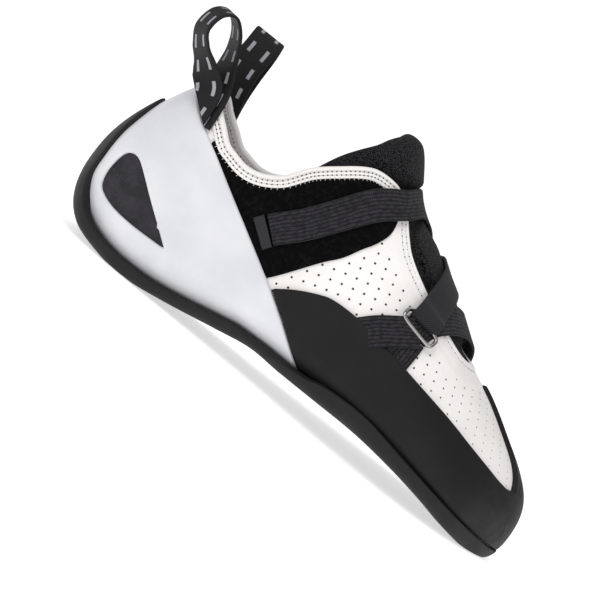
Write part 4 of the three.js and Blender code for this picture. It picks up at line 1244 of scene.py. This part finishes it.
def add_ribbon(name, rings, outline, run_length, material, turned=False):
    """A closed ribbon from a line of points for each corner of its outline, laid out flat in its UVs."""
    lays = [np.column_stack([run_length, np.full(len(run_length), u)]) for u, _ in outline]
    points, lays = np.stack(rings, 1).reshape(-1, 3), np.stack(lays, 1).reshape(-1, 2)
    stations, around = len(run_length), len(outline)
    ends = [tuple(range(around))[::-1], tuple(range((stations - 1) * around, stations * around))]
    faces = band_faces(stations, around, turned=turned) + (turned_faces(ends) if turned else ends)
    return add_piece(name, points, faces, [material], uv=lays, sharp=50)


def webbing(name, rows, material=WEBBING, width=WEBBING_WIDTH):
    """A ribbon that lies on the last along rows of (share, turn, height), with rounded edges and ends."""
    dense = smooth_line(rows, 24)
    lengths = step_lengths(surface(dense[:, 0], dense[:, 1]))
    share, turn, height = picked(dense, even_places(lengths, int(lengths.sum() / WEBBING_STEP) + 2)).T
    t = place_of(share)
    base, normals = on_last(t, turn)
    across = unit(np.cross(normals, tangents(base)))
    outline = ribbon_section(width, WEBBING_THICKNESS)
    rings = [lifted(*moved(t, turn, across, u), height + WEBBING_THICKNESS / 2 + v) for u, v in outline]
    add_ribbon(name, rings, outline, lengths_along(base), material)


def ring_frame(ends):
    """A ring's middle, its long and its short direction, and the way it faces."""
    share, turn = np.transpose([*ends, np.mean(ends, axis=0)])
    rear, front, middle = surface(share, turn)
    facing = surface_normals(share, turn)[-1]
    long = front - rear
    long = unit(long - facing * (long @ facing))
    return middle + facing * RING_MIDDLE, long, np.cross(facing, long), facing


def build_ring(name, ends):
    seat, long, short, facing = ring_frame(ends)
    corners, sides = 72, 14
    angle = np.linspace(0, 2 * math.pi, corners, endpoint=False)
    x, y = (np.sign(part) * np.abs(part) ** RING_ROUNDNESS * (size - RING_WIRE) / 2
            for part, size in ((np.cos(angle), RING_LENGTH), (np.sin(angle), RING_HEIGHT)))
    ring = seat + x[:, None] * long + y[:, None] * short
    ring = np.vstack([ring, ring[:1]])
    middles = picked(ring, even_places(step_lengths(ring), corners + 1)[:-1])
    outward = unit(np.cross(unit(np.roll(middles, -1, 0) - np.roll(middles, 1, 0)), facing))
    around = 2 * math.pi * np.arange(sides) / sides
    points = [m + RING_WIRE / 2 * (math.cos(a) * o + math.sin(a) * facing)
              for m, o in zip(middles, outward) for a in around]
    add_piece(name, points, band_faces(corners, sides, loop=True, turned=True), [STEEL], sharp=80)


def build_straps():
    webbing("strap_upper", UPPER_STRAP)
    webbing("strap_tag", STRAP_TAG, TAG, WEBBING_WIDTH + 0.8)
    webbing("strap_diagonal", DIAGONAL_STRAP, TWILL)
    webbing("strap_lower", LOWER_STRAP)
    webbing("ring_anchor_outside_under", ANCHOR_UNDER)
    webbing("ring_anchor_outside_over", ANCHOR_OVER)
    webbing("ring_anchor_inside", INSIDE_ANCHOR)
    build_ring("ring_outside", OUTSIDE_RING)
    build_ring("ring_inside", INSIDE_RING)


build_straps()


# Pull loops: along, across as a share of the heel's width, up as a share of its height, degrees turned
OUTSIDE_LOOP = [
    [0.114, -0.450, 0.790, 13], [0.109, -0.410, 0.915, 18], [0.101, -0.350, 0.990, 30],
    [0.093, -0.308, 1.070, 48], [0.083, -0.285, 1.160, 58], [0.067, -0.298, 1.245, 62],
    [0.045, -0.343, 1.294, 62], [0.025, -0.393, 1.258, 60], [0.020, -0.423, 1.165, 57],
    [0.036, -0.424, 1.092, 48], [0.062, -0.420, 1.030, 33], [0.083, -0.420, 0.972, 18],
    [0.096, -0.443, 0.915, 15], [0.101, -0.482, 0.790, 13],
]
INSIDE_LOOP = [
    [0.118, 0.439, 0.865, 0], [0.112, 0.407, 0.930, 0], [0.106, 0.350, 1.020, 2], [0.102, 0.320, 1.120, 4],
    [0.103, 0.328, 1.220, 4], [0.102, 0.375, 1.300, 4], [0.102, 0.440, 1.300, 4], [0.104, 0.487, 1.220, 3],
    [0.105, 0.494, 1.110, 2], [0.108, 0.486, 1.010, 0], [0.112, 0.482, 0.930, 0], [0.117, 0.490, 0.860, 0],
]

# The part of the heel rand's edge that a loop ends at
LOOP_RAND_SPAN = (0.08, 0.14)


def cut_at_rand(obj):
    """Ends a piece along the upper edge of the heel rand, under which it is glued."""
    rear, front = (np.array([x, np.interp(x, *HEEL_RAND_LINE.T)]) for x in along(LOOP_RAND_SPAN))
    run = unit(front - rear)
    cells = bmesh.new()
    cells.from_mesh(obj.data)
    everything = cells.verts[:] + cells.edges[:] + cells.faces[:]
    bmesh.ops.bisect_plane(cells, geom=everything, plane_co=(rear[0] * MM, 0, rear[1] * MM),
                           plane_no=(-run[1], 0, run[0]), clear_inner=True)
    bmesh.ops.holes_fill(cells, edges=[edge for edge in cells.edges if edge.is_boundary])
    cells.to_mesh(obj.data)
    cells.free()


def build_pull_loop(name, rows):
    share, across, rise, degrees = np.array(rows, float).T
    dense = smooth_line(np.column_stack([along(share), across * HEEL_WIDTH, rise * HEEL_HEIGHT, degrees]), 10)
    middle, angle = dense[:, :3], np.radians(dense[:, 3])
    run = tangents(middle)
    side = math.copysign(1, across[0])
    width = np.column_stack([np.cos(angle), side * np.sin(angle), np.zeros(len(angle))])
    width = unit(width - run * (width * run).sum(1)[:, None])
    facing = unit(np.cross(width, run))
    outline = ribbon_section(PULL_LOOP_WIDTH, PULL_LOOP_THICKNESS, 8)
    rings = [middle + width * u + facing * v for u, v in outline]
    return add_ribbon(name, rings, outline, lengths_along(middle), TAPE, turned=True)


cut_at_rand(build_pull_loop("pull_loop_outside", OUTSIDE_LOOP))
build_pull_loop("pull_loop_inside", INSIDE_LOOP)


# Floor, light and camera

WHITE_LIGHT = (1.0, 1.0, 1.0, 1.0)


def build_floor():
    """A round pale floor that rises gently far out, so that every view ends on it."""
    finish = Finish("floor", (246, 246, 247), 0.55, Emission_Color=WHITE_LIGHT, Emission_Strength=0.6)
    flat, reach, rise, sides = 2.0, 4.5, 1.0, 64
    rings = [(r, rise * ((r - flat) / (reach - flat)) ** 2) for r in np.linspace(flat, reach, 7)]
    angle = np.linspace(0, 2 * math.pi, sides, endpoint=False)
    points = [(r * math.cos(a), r * math.sin(a), z) for r, z in rings for a in angle]
    faces = [tuple(range(sides))] + band_faces(len(rings), sides, turned=True)
    mesh = bpy.data.meshes.new("floor")
    mesh.from_pydata(points, [], faces)
    mesh.materials.append(finish.material)
    mesh.shade_smooth()
    floor = bpy.data.objects.new("floor", mesh)
    bpy.context.scene.collection.objects.link(floor)


def add_light(name, place, aim, size, power):
    lamp = bpy.data.lights.new(name, "AREA")
    lamp.shape = "DISK"
    lamp.size = size
    lamp.energy = power
    obj = bpy.data.objects.new(name, lamp)
    bpy.context.scene.collection.objects.link(obj)
    obj.location = place
    obj.rotation_euler = (Vector(aim) - Vector(place)).to_track_quat("-Z", "Y").to_euler()


def build_light():
    world = bpy.data.worlds.new("studio")
    bpy.context.scene.world = world
    bpy.context.scene.view_settings.view_transform = "Standard"
    world.use_nodes = True
    world.node_tree.nodes["Background"].inputs[0].default_value = WHITE_LIGHT
    world.node_tree.nodes["Background"].inputs[1].default_value = 0.40
    aim = (0.08, 0.0, 0.05)
    add_light("key", (-0.5, -1.0, 1.2), aim, 1.0, 9)
    add_light("fill", (1.0, -1.2, 0.6), aim, 1.2, 4)
    add_light("top", (0.1, 0.3, 1.5), aim, 1.4, 5)


CAMERA_AZIMUTH = 3.0
CAMERA_ELEVATION = 5.0
CAMERA_ROLL = -38.877
CAMERA_DISTANCE = 1.5
CAMERA_AIM = (0.0752, -0.0017, 0.0411)
FRAME_WIDTH = 0.2799


def build_camera():
    camera = bpy.data.cameras.new("camera")
    camera.sensor_width = 36.0
    camera.lens = camera.sensor_width * CAMERA_DISTANCE / FRAME_WIDTH
    camera.clip_start, camera.clip_end = 0.05, 50.0
    azimuth, elevation, roll = (math.radians(v) for v in (CAMERA_AZIMUTH, CAMERA_ELEVATION, CAMERA_ROLL))
    look = Vector((-math.sin(azimuth) * math.cos(elevation), math.cos(azimuth) * math.cos(elevation),
                   -math.sin(elevation)))
    level = Vector((math.cos(azimuth), math.sin(azimuth), 0))
    upward = level.cross(look)
    right = level * math.cos(roll) - upward * math.sin(roll)
    top = level * math.sin(roll) + upward * math.cos(roll)
    turn = Matrix((right, top, -look)).transposed()
    obj = bpy.data.objects.new("camera", camera)
    bpy.context.scene.collection.objects.link(obj)
    obj.matrix_world = Matrix.Translation(Vector(CAMERA_AIM) - look * CAMERA_DISTANCE) @ turn.to_4x4()
    bpy.context.scene.camera = obj


build_floor()
build_light()
build_camera()
